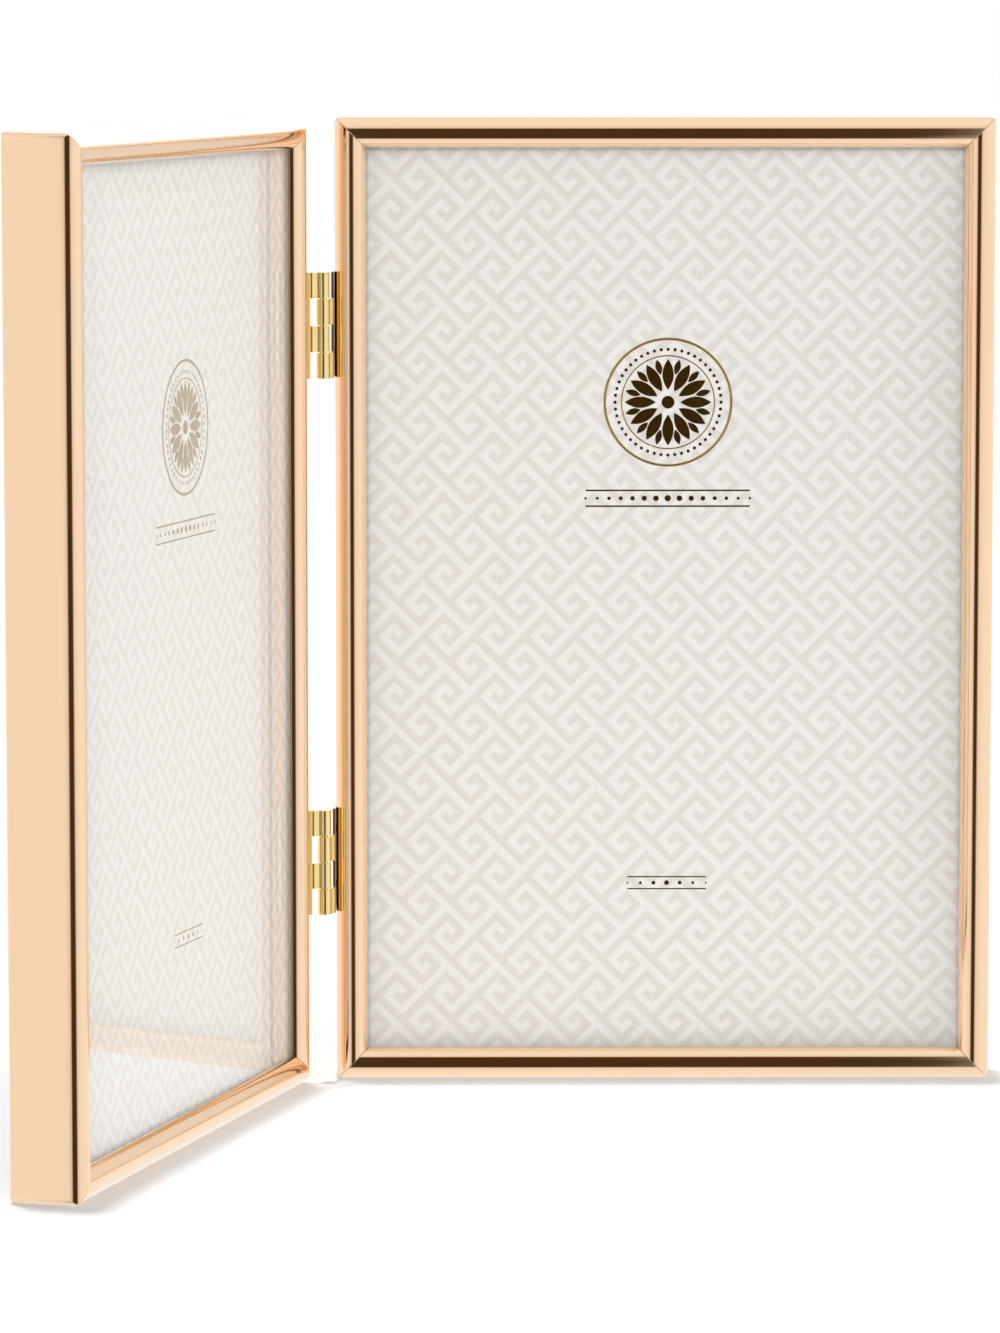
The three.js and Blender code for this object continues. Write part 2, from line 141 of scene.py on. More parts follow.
AT_PIN = shift(PIN.x, PIN.y, 0)
HINGE_PLACES = {"right": AT_PIN, "left": AT_PIN @ rotation(REST_FOLD, "Z")}
PANEL_PLACES = {
    "right": shift(0, PANEL_FRONT, 0),
    "left": HINGE_PLACES["left"] @ shift(-PIN_OUT - PANEL_WIDTH / 2, PIN_AHEAD, 0),
}
HANDS = {"right": 1, "left": -1}  # side of the pin that a leaf's panel lies on
MIRRORS = {side: Matrix.Scale(hand, 4, (1, 0, 0)) for side, hand in HANDS.items()}

LEAF_LOW, LEAF_HIGH = box_mm("upper_hinge_right_leaf")
HINGE_LENGTH = LEAF_HIGH.z - LEAF_LOW.z
KNUCKLE_RADIUS = PIN.x - LEAF_LOW.x
LEAF_SEAT = LEAF_HIGH.x - PIN.x
LEAF_BACK = LEAF_HIGH.y - PIN.y
PIN_LOW, PIN_HIGH = box_mm("upper_hinge_pin")
PIN_RADIUS = (PIN_HIGH.x - PIN_LOW.x) / 2
HINGE_MIDDLES = {hinge: sum(end.z for end in box_mm(f"{hinge}_hinge_pin")) / 2 for hinge in HINGES}

CLIP_PIVOTS = {
    corner: Vector(joint_named(f"right_turn_clip_{corner}_swivel")["pos_m"]) / MM for corner in CORNERS
}
CLIP_LOW, CLIP_HIGH = box_mm("right_turn_clip_lower_right")
CLIP_FRONT = CLIP_LOW.y - PANEL_FRONT
CLIP_BACK = CLIP_HIGH.y - PANEL_FRONT
CLIP_HALF_WIDTH = (CLIP_HIGH.z - CLIP_LOW.z) / 2
CLIP_REACH = CLIP_HIGH.x - CLIP_PIVOTS["lower_right"].x

# Measures of the pieces, in millimetres

WALL = 0.6
KEYWAY = 1.5
LAYER_GAP = 0.1
SLOT_PLAY = 0.2
RABBET_WALL = 2 * WALL + KEYWAY
LIP_BACK = GLASS_FRONT - LAYER_GAP
BEAD_RADIUS = BEAD_WIDTH + LIP_BACK - math.sqrt(2 * BEAD_WIDTH * LIP_BACK)  # its arc ends at the lip's back

LEAF_THICKNESS = 0.5
LEAF_FACE = LEAF_SEAT - LEAF_THICKNESS
LEAF_FRONT = 1.7
CRANK_START = 0.5
CRANK_END = 1.35
PIN_HOLE_RADIUS = KNUCKLE_RADIUS - LEAF_THICKNESS
KNUCKLE_COUNT = 4
KNUCKLE_GAP = 0.15
KNUCKLE_PITCH = (HINGE_LENGTH + KNUCKLE_GAP) / KNUCKLE_COUNT
KNUCKLE_LENGTH = KNUCKLE_PITCH - KNUCKLE_GAP
FIRST_KNUCKLES = {"left": 0, "right": 1}

LEAF_RIVET_RADIUS = 0.8
LEAF_RIVET_HEAD_RADIUS = 1.4
LEAF_RIVET_CROWN = 0.06
LEAF_RIVET_TAIL_RADIUS = 1.3
LEAF_RIVET_TAIL = 0.5
CLIP_RIVET_RADIUS = 0.9
CLIP_RIVET_HEAD_RADIUS = 2
CLIP_RIVET_HEAD = 0.7
CLIP_RIVET_RIM = 0.12  # height of the head's edge
CLIP_RIVET_DRAFT = 0.05  # how far that edge leans outwards
CLIP_RIVET_TAIL_RADIUS = 1.6
CLIP_RIVET_TAIL = 0.8
RIVET_GAP = 0.1
RUNNING_GAP = 0.05

MEDALLION_HEIGHT = 112.0
RULE_HEIGHT = 96.2
TAILPIECE_HEIGHT = 32.4
ORNAMENT_ACROSS = 0.6  # right of the panel's middle

# Steps and margins of the mesh work, in millimetres and radians

CUT_MARGIN = 1
CORNER_OFF = 0.005  # how far a corner's cutter stays off the faces that its arc runs into
ROUND_STEP = math.radians(5)
ROUND_STEPS = 48
DOME_STEPS = 10
CLIP_TAIL_STEPS = 36
CLIP_TIP_STEPS = 24
BEVEL_SEGMENTS = 3
SHARP_ANGLE = math.radians(38)
PLACE_ATTRIBUTE = "rail_place"


def srgb(red, green, blue):
    """A colour as it is picked from a picture, from 0 to 255."""
    return red / 255, green / 255, blue / 255


def linear(colour):
    """A picked colour as the shaders take it."""
    parts = [part / 12.92 if part <= 0.04045 else ((part + 0.055) / 1.055) ** 2.4 for part in colour]
    return (*parts, 1)


def dimmed(colour, shares):
    """A shader's colour with a share of its red, green and blue."""
    return (*(part * share for part, share in zip(colour, shares)), 1)


# Settings

def length_setting(name, description, default):
    """A length in metres, from a default in millimetres."""
    return FloatProperty(
        name=name, description=description, default=default * MM, min=0, unit="LENGTH", precision=6
    )


def colour_setting(name, description, default):
    """A picked colour."""
    return FloatVectorProperty(
        name=name, description=description, default=default, min=0, max=1, subtype="COLOR_GAMMA"
    )


def factor_setting(name, description, default):
    """A share from 0 to 1."""
    return FloatProperty(
        name=name, description=description, default=default, min=0, max=1, subtype="FACTOR"
    )


def angle_setting(name, description, default):
    """An angle in radians."""
    return FloatProperty(name=name, description=description, default=default, unit="ROTATION")


class MouldingSettings(bpy.types.PropertyGroup):
    edge_round: length_setting("Edge rounding", "Radius of the moulding's back edges", 0.45)
    mitre_round: length_setting("Mitre rounding", "Radius of the edges at the mitres", 0.05)
    mitre_setback: length_setting("Mitre setback", "How far a rail's end lies from the mitre", 0.03)
    corner_round: length_setting("Corner rounding", "Radius of a panel's outer corners from the front", 1.4)
    gold: colour_setting("Gold", "Colour of the plated moulding", srgb(253, 218, 181))
    roughness: factor_setting("Roughness", "Roughness of the polished plate", 0.09)
    lacquer: factor_setting("Lacquer", "Weight of the clear lacquer over the plate", 0.5)


class HingeSettings(bpy.types.PropertyGroup):
    corner_round: length_setting("Leaf corner", "Radius of a leaf's back corners", 1.4)
    edge_round: length_setting("Edge rounding", "Radius of the stamped edges", 0.07)
    crank_bend: length_setting("Crank bend", "Inner radius of the crank's bends", 0.25)
    roll_seam: length_setting("Roll seam", "Gap where a rolled knuckle closes on its leaf", 0.09)
    brass: colour_setting("Brass", "Colour of the rolled brass", srgb(250, 226, 158))
    roughness: factor_setting("Roughness", "Roughness of the brass", 0.13)


class BackSettings(bpy.types.PropertyGroup):
    clip_edge: length_setting("Clip edge", "Radius of a turn clip's edges", 0.12)
    velvet_edge: length_setting("Velvet edge", "Radius of the velvet's cut edge", 0.12)
    zinc: colour_setting("Zinc", "Colour of the plated steel", srgb(188, 190, 193))
    velvet: colour_setting("Velvet", "Colour of the velvet pile", srgb(48, 44, 50))
    card: colour_setting("Card", "Colour of the grey filler card", srgb(184, 170, 148))
    hardboard: colour_setting("Hardboard", "Colour of the backboard", srgb(122, 91, 65))


class InsertSettings(bpy.types.PropertyGroup):
    fret_unit: length_setting("Fret unit", "Half the diagonal between two lines of the fret", 0.829)
    fret_tilt: angle_setting("Fret tilt", "Turn of the printed fret", -0.0064)
    fret_across: FloatProperty(
        name="Fret across",
        description="A hook's corner from the panel's middle",
        default=-6.27 * MM,
        unit="LENGTH",
    )
    fret_up: length_setting("Fret up", "A hook's corner above the panel's base", 71.84)
    line: colour_setting("Fret line", "Colour of the fret's lines", srgb(238, 232, 231))
    ground: colour_setting("Ground", "Colour between the fret's lines", srgb(225, 218, 215))
    foil: colour_setting("Foil", "Colour of the stamped foil", srgb(190, 163, 92))
    foil_thickness: length_setting("Foil thickness", "How far the foil stands off the paper", 0.03)
    medallion_radius: length_setting("Medallion", "Radius of the stamped rosette", 10.6)
    petals: IntProperty(name="Petals", description="Petals in one ring of the rosette", default=12, min=3)


class StageSettings(bpy.types.PropertyGroup):
    camera_place: FloatVectorProperty(
        name="Camera",
        description="Place of the camera",
        default=(-0.0325, -0.9991, 0.1801),
        subtype="TRANSLATION",
    )
    camera_yaw: angle_setting("Yaw", "Camera's turn to the right", math.radians(0.319))
    camera_pitch: angle_setting("Pitch", "Camera's tilt down", math.radians(6.402))
    lens: FloatProperty(name="Lens", description="Focal length in millimetres", default=164.18, min=1)
    fill: factor_setting("Fill", "Light of the white surround on matt surfaces", 0.3)
    front: factor_setting("Front", "Light of the lamp in front, as a share of white", 0.47)
    side: factor_setting("Side", "Light of the lamp at the right, as a share of white", 0.48)
    top: factor_setting("Top", "Light of the lamp overhead, as a share of white", 0.62)
    glow: factor_setting("Glow", "Share of the floor's white that takes no shadow", 0.14)


# Meshes

def new_object(name, data):
    """An object in the scene."""
    obj = bpy.data.objects.new(name, data)
    bpy.context.scene.collection.objects.link(obj)
    return obj


def removed(obj):
    """Takes an object and its mesh out of the file."""
    mesh = obj.data
    bpy.data.objects.remove(obj)
    bpy.data.meshes.remove(mesh)


def settled(obj):
    """The object's mesh with its modifiers worked in. The object is removed."""
    depsgraph = bpy.context.evaluated_depsgraph_get()
    mesh = bpy.data.meshes.new_from_object(
        obj.evaluated_get(depsgraph), preserve_all_data_layers=True, depsgraph=depsgraph
    )
    removed(obj)
    return mesh


def mesh_from(bm, name):
    """A mesh with its faces pointing outwards."""
    bmesh.ops.recalc_face_normals(bm, faces=bm.faces)
    mesh = bpy.data.meshes.new(name)
    bm.to_mesh(mesh)
    bm.free()
    return mesh


def facing_out(mesh):
    """The mesh with its doubles merged and its faces turned outwards."""
    bm = bmesh.new()
    bm.from_mesh(mesh)
    bmesh.ops.remove_doubles(bm, verts=bm.verts, dist=MM * MM)
    bmesh.ops.recalc_face_normals(bm, faces=bm.faces)
    bm.to_mesh(mesh)
    bm.free()
    return mesh


def shaded(mesh):
    """The mesh shaded smooth, with flat faces kept flat beside rounded ones."""
    mesh.shade_smooth()
    mesh.set_sharp_from_angle(angle=SHARP_ANGLE)
    obj = new_object(mesh.name, mesh)
    even = obj.modifiers.new("Even shading", "WEIGHTED_NORMAL")
    even.keep_sharp = True
    return settled(obj)


def softened(mesh, radius):
    """The mesh with its sharp edges rounded."""
    obj = new_object(mesh.name, mesh)
    bevel = obj.modifiers.new("Edge rounding", "BEVEL")
    bevel.width = radius
    bevel.segments = BEVEL_SEGMENTS
    bevel.limit_method = "ANGLE"
    bevel.angle_limit = SHARP_ANGLE
    return settled(obj)


def cut(mesh, cutters):
    """The mesh with the cutters taken out of it."""
    obj = new_object(mesh.name, mesh)
    helpers = [new_object(cutter.name, cutter) for cutter in cutters]
    for helper in helpers:
        modifier = obj.modifiers.new("Cut", "BOOLEAN")
        modifier.operation = "DIFFERENCE"
        modifier.solver = "EXACT"
        modifier.object = helper
    mesh = settled(obj)
    for helper in helpers:
        removed(helper)
    return mesh


def moved_mesh(mesh, matrix):
    """The mesh put elsewhere, with its faces still pointing outwards."""
    mesh.transform(matrix)
    if matrix.determinant() < 0:
        mesh.flip_normals()
    return mesh


def rounded_outline(corners):
    """A closed outline of (x, y, radius) corners, each rounded by its radius."""
    points = []
    for index, (x, y, radius) in enumerate(corners):
        corner = Vector((x, y))
        before = (Vector(corners[index - 1][:2]) - corner).normalized()
        after = (Vector(corners[(index + 1) % len(corners)][:2]) - corner).normalized()
        if radius == 0:
            points.append(corner)
            continue
        half = before.angle(after) / 2
        centre = corner + (before + after).normalized() * (radius / math.sin(half))
        start = corner + before * (radius / math.tan(half)) - centre
        end = corner + after * (radius / math.tan(half)) - centre
        sweep = math.atan2(start.x * end.y - start.y * end.x, start.dot(end))
        steps = max(2, round(abs(sweep) / ROUND_STEP))
        turns = [Matrix.Rotation(sweep * step / steps, 2) for step in range(steps + 1)]
        points += [centre + turn @ start for turn in turns]
    return [point for index, point in enumerate(points) if (point - points[index - 1]).length > MM]


def arc(radius, start, sweep, steps, x=0, y=0):
    """Points on a round stretch about a centre."""
    turns = [start + sweep * step / steps for step in range(steps + 1)]
    return [Vector((x + radius * math.cos(turn), y + radius * math.sin(turn))) for turn in turns]


def circle(x, y, radius):
    """A round outline."""
    return arc(radius, 0, 2 * math.pi, ROUND_STEPS, x, y)[:-1]


def dome(radius, rise, base):
    """The (radius, height) pairs of a flattened dome, from its rim to its crown."""
    turns = [QUARTER * step / DOME_STEPS for step in range(DOME_STEPS)]
    rim = [(radius * math.cos(turn), base + rise * math.sin(turn)) for turn in turns]
    return [*rim, (0, base + rise)]


def flat_mesh(name, corners):
    """A flat face between corners."""
    bm = bmesh.new()
    bm.faces.new([bm.verts.new(corner) for corner in corners])
    return mesh_from(bm, name)


def plate(name, outline, low, high):
    """A plate between two heights along Z."""
    bm = bmesh.new()
    bm.faces.new([bm.verts.new((x, y, low)) for x, y in outline])
    extruded = bmesh.ops.extrude_face_region(bm, geom=bm.faces[:])
    moved = [item for item in extruded["geom"] if isinstance(item, bmesh.types.BMVert)]
    bmesh.ops.translate(bm, verts=moved, vec=(0, 0, high - low))
    return mesh_from(bm, name)


def pierced(mesh, places, radius, low, high):
    """The mesh with round holes cut through it between two heights along Z."""
    outlines = [circle(x, y, radius) for x, y in places]
    return cut(mesh, [plate("hole", each, low - CUT_MARGIN, high + CUT_MARGIN) for each in outlines])


def turned(name, profile):
    """A solid turned about Z from (radius, height) pairs that start and end on the axis."""
    bm = bmesh.new()
    verts = [bm.verts.new((radius, 0, height)) for radius, height in profile]
    edges = [bm.edges.new(pair) for pair in zip(verts, verts[1:])]
    bmesh.ops.spin(
        bm, geom=verts + edges, axis=(0, 0, 1), angle=2 * math.pi, steps=ROUND_STEPS, use_merge=True
    )
    bmesh.ops.remove_doubles(bm, verts=bm.verts, dist=MM)
    return mesh_from(bm, name)


def finish(mesh, material):
    """Gives a mesh one finish all over."""
    mesh.materials.clear()
    mesh.materials.append(material)


def add_piece(name, mesh, material, place, body, nodes=()):
    """Puts a mesh with its finish in its place, on its body, for the solids that it stands for."""
    finish(mesh, material)
    mesh.transform(Matrix.Scale(MM, 4) @ place)
    mesh.name = name
    piece = new_object(name, mesh)
    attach(piece, body)
    if nodes:
        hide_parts(*nodes)
    return piece


def dress(node, material):
    """Gives a solid that stays in view its finish."""
    finish(frame["nodes"][node].data, material)


# Node trees

def add_node(tree, kind, sockets=None, **settings):
    """A node with its settings, and its sockets set or linked."""
    node = tree.nodes.new(kind)
    for name, value in settings.items():
        setattr(node, name, value)
    for key, value in (sockets or {}).items():
        if isinstance(value, bpy.types.NodeSocket):
            tree.links.new(value, node.inputs[key])
        else:
            node.inputs[key].default_value = value
    return node


def result(tree, kind, sockets=None, output=0, **settings):
    """One output of a new node."""
    return add_node(tree, kind, sockets, **settings).outputs[output]


def grouped(tree, group, sockets):
    """The outputs of a shader group."""
    return add_node(tree, "ShaderNodeGroup", sockets, node_tree=group).outputs


def calculate(tree, operation, *values, clamp=False):
    """The result of a calculation with values."""
    return result(tree, "ShaderNodeMath", dict(enumerate(values)), operation=operation, use_clamp=clamp)


def calculate_vector(tree, operation, *values, output=0):
    """The result of a calculation with vectors."""
    return result(tree, "ShaderNodeVectorMath", dict(enumerate(values)), output, operation=operation)


def vector(tree, **parts):
    """A vector from some of its parts X, Y and Z."""
    return result(tree, "ShaderNodeCombineXYZ", parts)


def position_parts(tree):
    """Geometry Nodes: the parts X, Y and Z of each point's place."""
    place = result(tree, "GeometryNodeInputPosition")
    return add_node(tree, "ShaderNodeSeparateXYZ", {0: place}).outputs


def mixed_colour(tree, factor, first, second):
    """A colour between two, by a factor. The node's socket names repeat, so their numbers are used."""
    return result(tree, "ShaderNodeMix", {0: factor, 6: first, 7: second}, 2, data_type="RGBA")


def ranged(tree, value, low, high, start=0.0, end=1.0):
    """A value between a start and an end, spread between two others."""
    sockets = {"Value": value, "From Min": start, "From Max": end, "To Min": low, "To Max": high}
    return result(tree, "ShaderNodeMapRange", sockets)


def noise(tree, place, scale, detail):
    """Soft noise from 0 to 1."""
    return result(tree, "ShaderNodeTexNoise", {"Vector": place, "Scale": scale, "Detail": detail})


def new_group(name, kind, inputs, outputs):
    """A node group with its sockets, and what it is given."""
    group = bpy.data.node_groups.new(name, kind)
    for in_out, sockets in (("INPUT", inputs), ("OUTPUT", outputs)):
        for label, socket_type in sockets.items():
            group.interface.new_socket(name=label, in_out=in_out, socket_type=f"NodeSocket{socket_type}")
    return group, group.nodes.new("NodeGroupInput").outputs


def end_group(group, results):
    """The group with its results linked to its outputs."""
    ending = group.nodes.new("NodeGroupOutput")
    for label, socket in results.items():
        group.links.new(socket, ending.inputs[label])
    return group


def worked(obj, tree, values):
    """The plain mesh that a Geometry Nodes tree makes of an object, which is removed."""
    modifier = obj.modifiers.new(tree.name, "NODES")
    modifier.node_group = tree
    for item in tree.interface.items_tree:
        if item.in_out == "INPUT" and item.name in values:
            modifier[item.identifier] = values[item.name]
    return settled(obj)


def joined_geometry(tree, parts):
    """Geometry Nodes: several geometries as one."""
    joint = add_node(tree, "GeometryNodeJoinGeometry")
    for part in parts:
        tree.links.new(part, joint.inputs[0])
    return joint.outputs[0]


def raised(tree, flat, height):
    """Geometry Nodes: flat shapes made into closed ones of a height along Z."""
    sockets = {"Mesh": flat, "Offset": vector(tree, Z=height), "Offset Scale": 1.0, "Individual": False}
    top = result(tree, "GeometryNodeExtrudeMesh", sockets, "Mesh", mode="FACES")
    base = result(tree, "GeometryNodeFlipFaces", {"Mesh": flat})
    solid = joined_geometry(tree, [top, base])
    return result(tree, "GeometryNodeMergeByDistance", {"Geometry": solid, "Distance": MM})


def copied(tree, points, shape, **sockets):
    """Geometry Nodes: a shape at each point."""
    sockets = {"Points": points, "Instance": shape, **sockets}
    return result(tree, "GeometryNodeInstanceOnPoints", sockets)


def end_geometry(tree, geometry, label, material):
    """Geometry Nodes: the tree ended with plain geometry in one finish."""
    plain = result(tree, "GeometryNodeRealizeInstances", {"Geometry": geometry})
    finished = result(tree, "GeometryNodeSetMaterial", {"Geometry": plain, "Material": material})
    return end_group(tree, {label: finished})


# Shader groups

def drawn_lines():
    """Fine lines left by drawing, rolling or polishing, and the haze between them."""
    name = "Drawn lines"
    if name in bpy.data.node_groups:
        return bpy.data.node_groups[name]
    group, given = new_group(
        name,
        "ShaderNodeTree",
        {"Place": "Vector", "Fineness": "Float"},
        {"Lines": "Float", "Haze": "Float"},
    )
    coarse = calculate(group, "MULTIPLY", given["Fineness"], 0.04)
    lines = noise(group, given["Place"], given["Fineness"], 3.0)
    haze = noise(group, given["Place"], coarse, 4.0)
    return end_group(group, {"Lines": lines, "Haze": haze})


def cloudy_tint():
    """A soft mottle between two colours, with fine grain."""
    name = "Cloudy tint"
    if name in bpy.data.node_groups:
        return bpy.data.node_groups[name]
    group, given = new_group(
        name,
        "ShaderNodeTree",
        {"Place": "Vector", "Scale": "Float", "Grain": "Float", "Light": "Color", "Dark": "Color"},
        {"Colour": "Color", "Cloud": "Float", "Fibre": "Float"},
    )
    cloud = noise(group, given["Place"], given["Scale"], 5.0)
    fibre = noise(group, given["Place"], given["Grain"], 6.0)
    both = calculate(group, "MULTIPLY_ADD", fibre, 0.5, calculate(group, "MULTIPLY", cloud, 0.5))
    contrast = ranged(group, both, 0.0, 1.0, start=0.36, end=0.64)
    colour = mixed_colour(group, contrast, given["Dark"], given["Light"])
    return end_group(group, {"Colour": colour, "Cloud": cloud, "Fibre": fibre})


# A repeat of the fret is 10 units wide and 12 high. Its strokes run along two diagonals, falling and
# rising to the right, and a hook is drawn in steps along them from its top corner. The second hook faces
# the first.
FRET_FALLING = (5, 6, 0)
FRET_RISING = (-5, 6, 0)
FRET_COLUMNS = 10
FRET_ROWS = 12
FRET_HALF_STROKE = 0.5
FRET_CRISPNESS = 4
FRET_LONG_RUN = 9
FRET_HOOK_SPACING = 4  # rising steps from the first hook's corner to the second's
FRET_PATH = ((2, 2), (2, 3), (0, 3), (0, 0), (FRET_LONG_RUN / 2, 0), (FRET_LONG_RUN, 0))
FRET_HOOK = list(zip(FRET_PATH, FRET_PATH[1:]))


def fret_stroke():
    """One square-ended stroke of the fret, in cells of one repeat."""
    group, given = new_group(
        "Fret stroke",
        "ShaderNodeTree",
        {"Cell": "Vector", "Middle": "Vector", "Half Falling": "Float", "Half Rising": "Float"},
        {"Stroke": "Float"},
    )
    offset = calculate_vector(group, "SUBTRACT", given["Cell"], given["Middle"])
    near = calculate_vector(group, "WRAP", offset, (0.5, 0.5, 0.5), (-0.5, -0.5, -0.5))
    rooms = []
    for half, axis in (("Half Falling", FRET_FALLING), ("Half Rising", FRET_RISING)):
        along = calculate_vector(group, "DOT_PRODUCT", near, axis, output="Value")
        rooms.append(calculate(group, "SUBTRACT", given[half], calculate(group, "ABSOLUTE", along)))
    room = calculate(group, "MINIMUM", *rooms)
    stroke = calculate(group, "MULTIPLY_ADD", room, FRET_CRISPNESS, 0.5, clamp=True)
    return end_group(group, {"Stroke": stroke})


def facing_hook(point):
    """The place on the second hook that matches one on the first."""
    return FRET_LONG_RUN - point[1], FRET_HOOK_SPACING - point[0]


def fret_lattice():
    """The whole fret, from places in cells of one repeat."""
    stroke = fret_stroke()
    group, given = new_group("Fret lattice", "ShaderNodeTree", {"Cell": "Vector"}, {"Line": "Float"})
    line = None
    for start, end in FRET_HOOK + [(facing_hook(start), facing_hook(end)) for start, end in FRET_HOOK]:
        falling = (start[0] + end[0]) / 2
        rising = (start[1] + end[1]) / 2
        sockets = {
            "Cell": given["Cell"],
            "Middle": ((falling - rising) / FRET_COLUMNS, (falling + rising) / FRET_ROWS, 0),
            "Half Falling": abs(end[0] - start[0]) / 2 + FRET_HALF_STROKE,
            "Half Rising": abs(end[1] - start[1]) / 2 + FRET_HALF_STROKE,
        }
        mask = grouped(group, stroke, sockets)[0]
        line = mask if line is None else calculate(group, "MAXIMUM", line, mask)
    return end_group(group, {"Line": line})


# Finishes

PAPER_LIGHTS = (0.985, 0.995, 1.0)
PAPER_DARKS = (0.985, 0.975, 0.96)
METAL_DARKS = (0.95, 0.95, 0.95)
MATT_SPREAD = 0.06  # of a matt finish's roughness, to either side


def new_material(name):
    """An empty node material."""
    material = bpy.data.materials.new(name)
    material.use_nodes = True
    material.node_tree.nodes.clear()
    return material, material.node_tree


def object_place(tree, scale=(1, 1, 1)):
    """Places on the piece, in metres, stretched by a scale."""
    place = result(tree, "ShaderNodeTexCoord", output="Object")
    return result(tree, "ShaderNodeMapping", {"Vector": place, "Scale": scale})


def rail_place(tree):
    """Places on a rail, in millimetres, drawn out along it."""
    place = result(tree, "ShaderNodeAttribute", output="Vector", attribute_name=PLACE_ATTRIBUTE)
    return result(tree, "ShaderNodeMapping", {"Vector": place, "Scale": (1, 1, 0.02)})


def rolled_place(tree):
    """Places on the piece, drawn out upwards."""
    return object_place(tree, (1, 1, 0.05))


def bump(tree, height, distance):
    """A normal raised by a height, over a distance in metres."""
    return result(tree, "ShaderNodeBump", {"Height": height, "Distance": distance})


def end_material(tree, shader):
    """Puts a shader on the surface."""
    add_node(tree, "ShaderNodeOutputMaterial", {"Surface": shader})


def end_principled(tree, sockets):
    """Puts a principled shader on the surface."""
    end_material(tree, result(tree, "ShaderNodeBsdfPrincipled", sockets))


def bright_metal(name, colour, roughness, place, fineness, spread, depth, lacquer=0.0):
    """Polished metal with fine lines: place is a function that gives its tree's places."""
    if name in bpy.data.materials:
        return bpy.data.materials[name]
    material, tree = new_material(name)
    lines = grouped(tree, drawn_lines(), {"Place": place(tree), "Fineness": fineness})
    light = linear(colour)
    sockets = {
        "Base Color": mixed_colour(tree, lines["Haze"], dimmed(light, METAL_DARKS), light),
        "Metallic": 1.0,
        "Coat Weight": lacquer,
        "Roughness": ranged(tree, lines["Haze"], roughness - spread / 2, roughness + spread / 2),
        "Normal": bump(tree, lines["Lines"], depth),
    }
    end_principled(tree, sockets)
    return material


def polished_gold(settings):
    """Gold plate over drawn moulding, with its lines along each rail."""
    return bright_metal(
        "Polished gold",
        settings.gold,
        settings.roughness,
        rail_place,
        fineness=9.0,
        spread=0.05,
        depth=4e-7,
        lacquer=settings.lacquer,
    )


def rolled_brass(settings):
    """Bright brass of the hinges, with its rolling lines upright."""
    return bright_metal(
        "Rolled brass",
        settings.brass,
        settings.roughness,
        rolled_place,
        fineness=6000.0,
        spread=0.08,
        depth=6e-7,
    )


def zinc_plate(settings):
    """Dull zinc plate of the clips, their rivets and the corner keys."""
    return bright_metal(
        "Zinc plate",
        settings.zinc,
        roughness=0.36,
        place=object_place,
        fineness=2500.0,
        spread=0.2,
        depth=1.5e-6,
    )


def stamped_foil(settings):
    """Hot stamped foil on the inserts."""
    return bright_metal(
        "Stamped foil",
        settings.foil,
        roughness=0.13,
        place=object_place,
        fineness=4000.0,
        spread=0.08,
        depth=5e-7,
    )


def clear_glass():
    """Float glass that lets light reach the insert, with a trace of haze."""
    material, tree = new_material("Clear glass")
    smudge = grouped(tree, drawn_lines(), {"Place": object_place(tree), "Fineness": 500.0})["Haze"]
    sockets = {
        "Base Color": linear(srgb(252, 255, 253)),
        "Metallic": 0.0,
        "Transmission Weight": 1.0,
        "IOR": 1.5,
        "Roughness": ranged(tree, smudge, 0.0, 0.012),
    }
    glass = result(tree, "ShaderNodeBsdfPrincipled", sockets)
    path = add_node(tree, "ShaderNodeLightPath").outputs
    passing = calculate(tree, "MAXIMUM", path["Is Shadow Ray"], path["Is Diffuse Ray"])
    open_way = result(tree, "ShaderNodeBsdfTransparent")
    end_material(tree, result(tree, "ShaderNodeMixShader", {0: passing, 1: glass, 2: open_way}))
    return material


def printed_paper(side, settings, lattice):
    """Smooth paper with the fret printed on it, in its panel's own directions."""
    material, tree = new_material(f"Printed paper {side}")
    corner = PANEL_PLACES[side] @ Vector((settings.fret_across / MM, 0, settings.fret_up / MM))
    fold = REST_FOLD if side == "left" else 0
    sockets = {
        "Vector": result(tree, "ShaderNodeTexCoord", output="Object"),
        "Location": corner * MM,
        "Rotation": (-QUARTER, 0, fold),
    }
    on_panel = result(tree, "ShaderNodeMapping", sockets, vector_type="TEXTURE")
    sockets = {
        "Vector": on_panel,
        "Rotation": (0, 0, settings.fret_tilt),
        "Scale": (FRET_COLUMNS * settings.fret_unit, FRET_ROWS * settings.fret_unit, 1),
    }
    cell = result(tree, "ShaderNodeMapping", sockets, vector_type="TEXTURE")
    line = grouped(tree, lattice, {"Cell": cell})[0]
    tints = {}
    for ink in ("line", "ground"):
        colour = linear(getattr(settings, ink))
        sockets = {
            "Place": on_panel,
            "Scale": 420.0,
            "Grain": 5200.0,
            "Light": dimmed(colour, PAPER_LIGHTS),
            "Dark": dimmed(colour, PAPER_DARKS),
        }
        tints[ink] = grouped(tree, cloudy_tint(), sockets)
    sockets = {
        "Base Color": mixed_colour(tree, line, tints["ground"]["Colour"], tints["line"]["Colour"]),
        "Roughness": ranged(tree, line, 0.62, 0.5),
        "Normal": bump(tree, tints["line"]["Fibre"], 4e-6),
    }
    end_principled(tree, sockets)
    return material


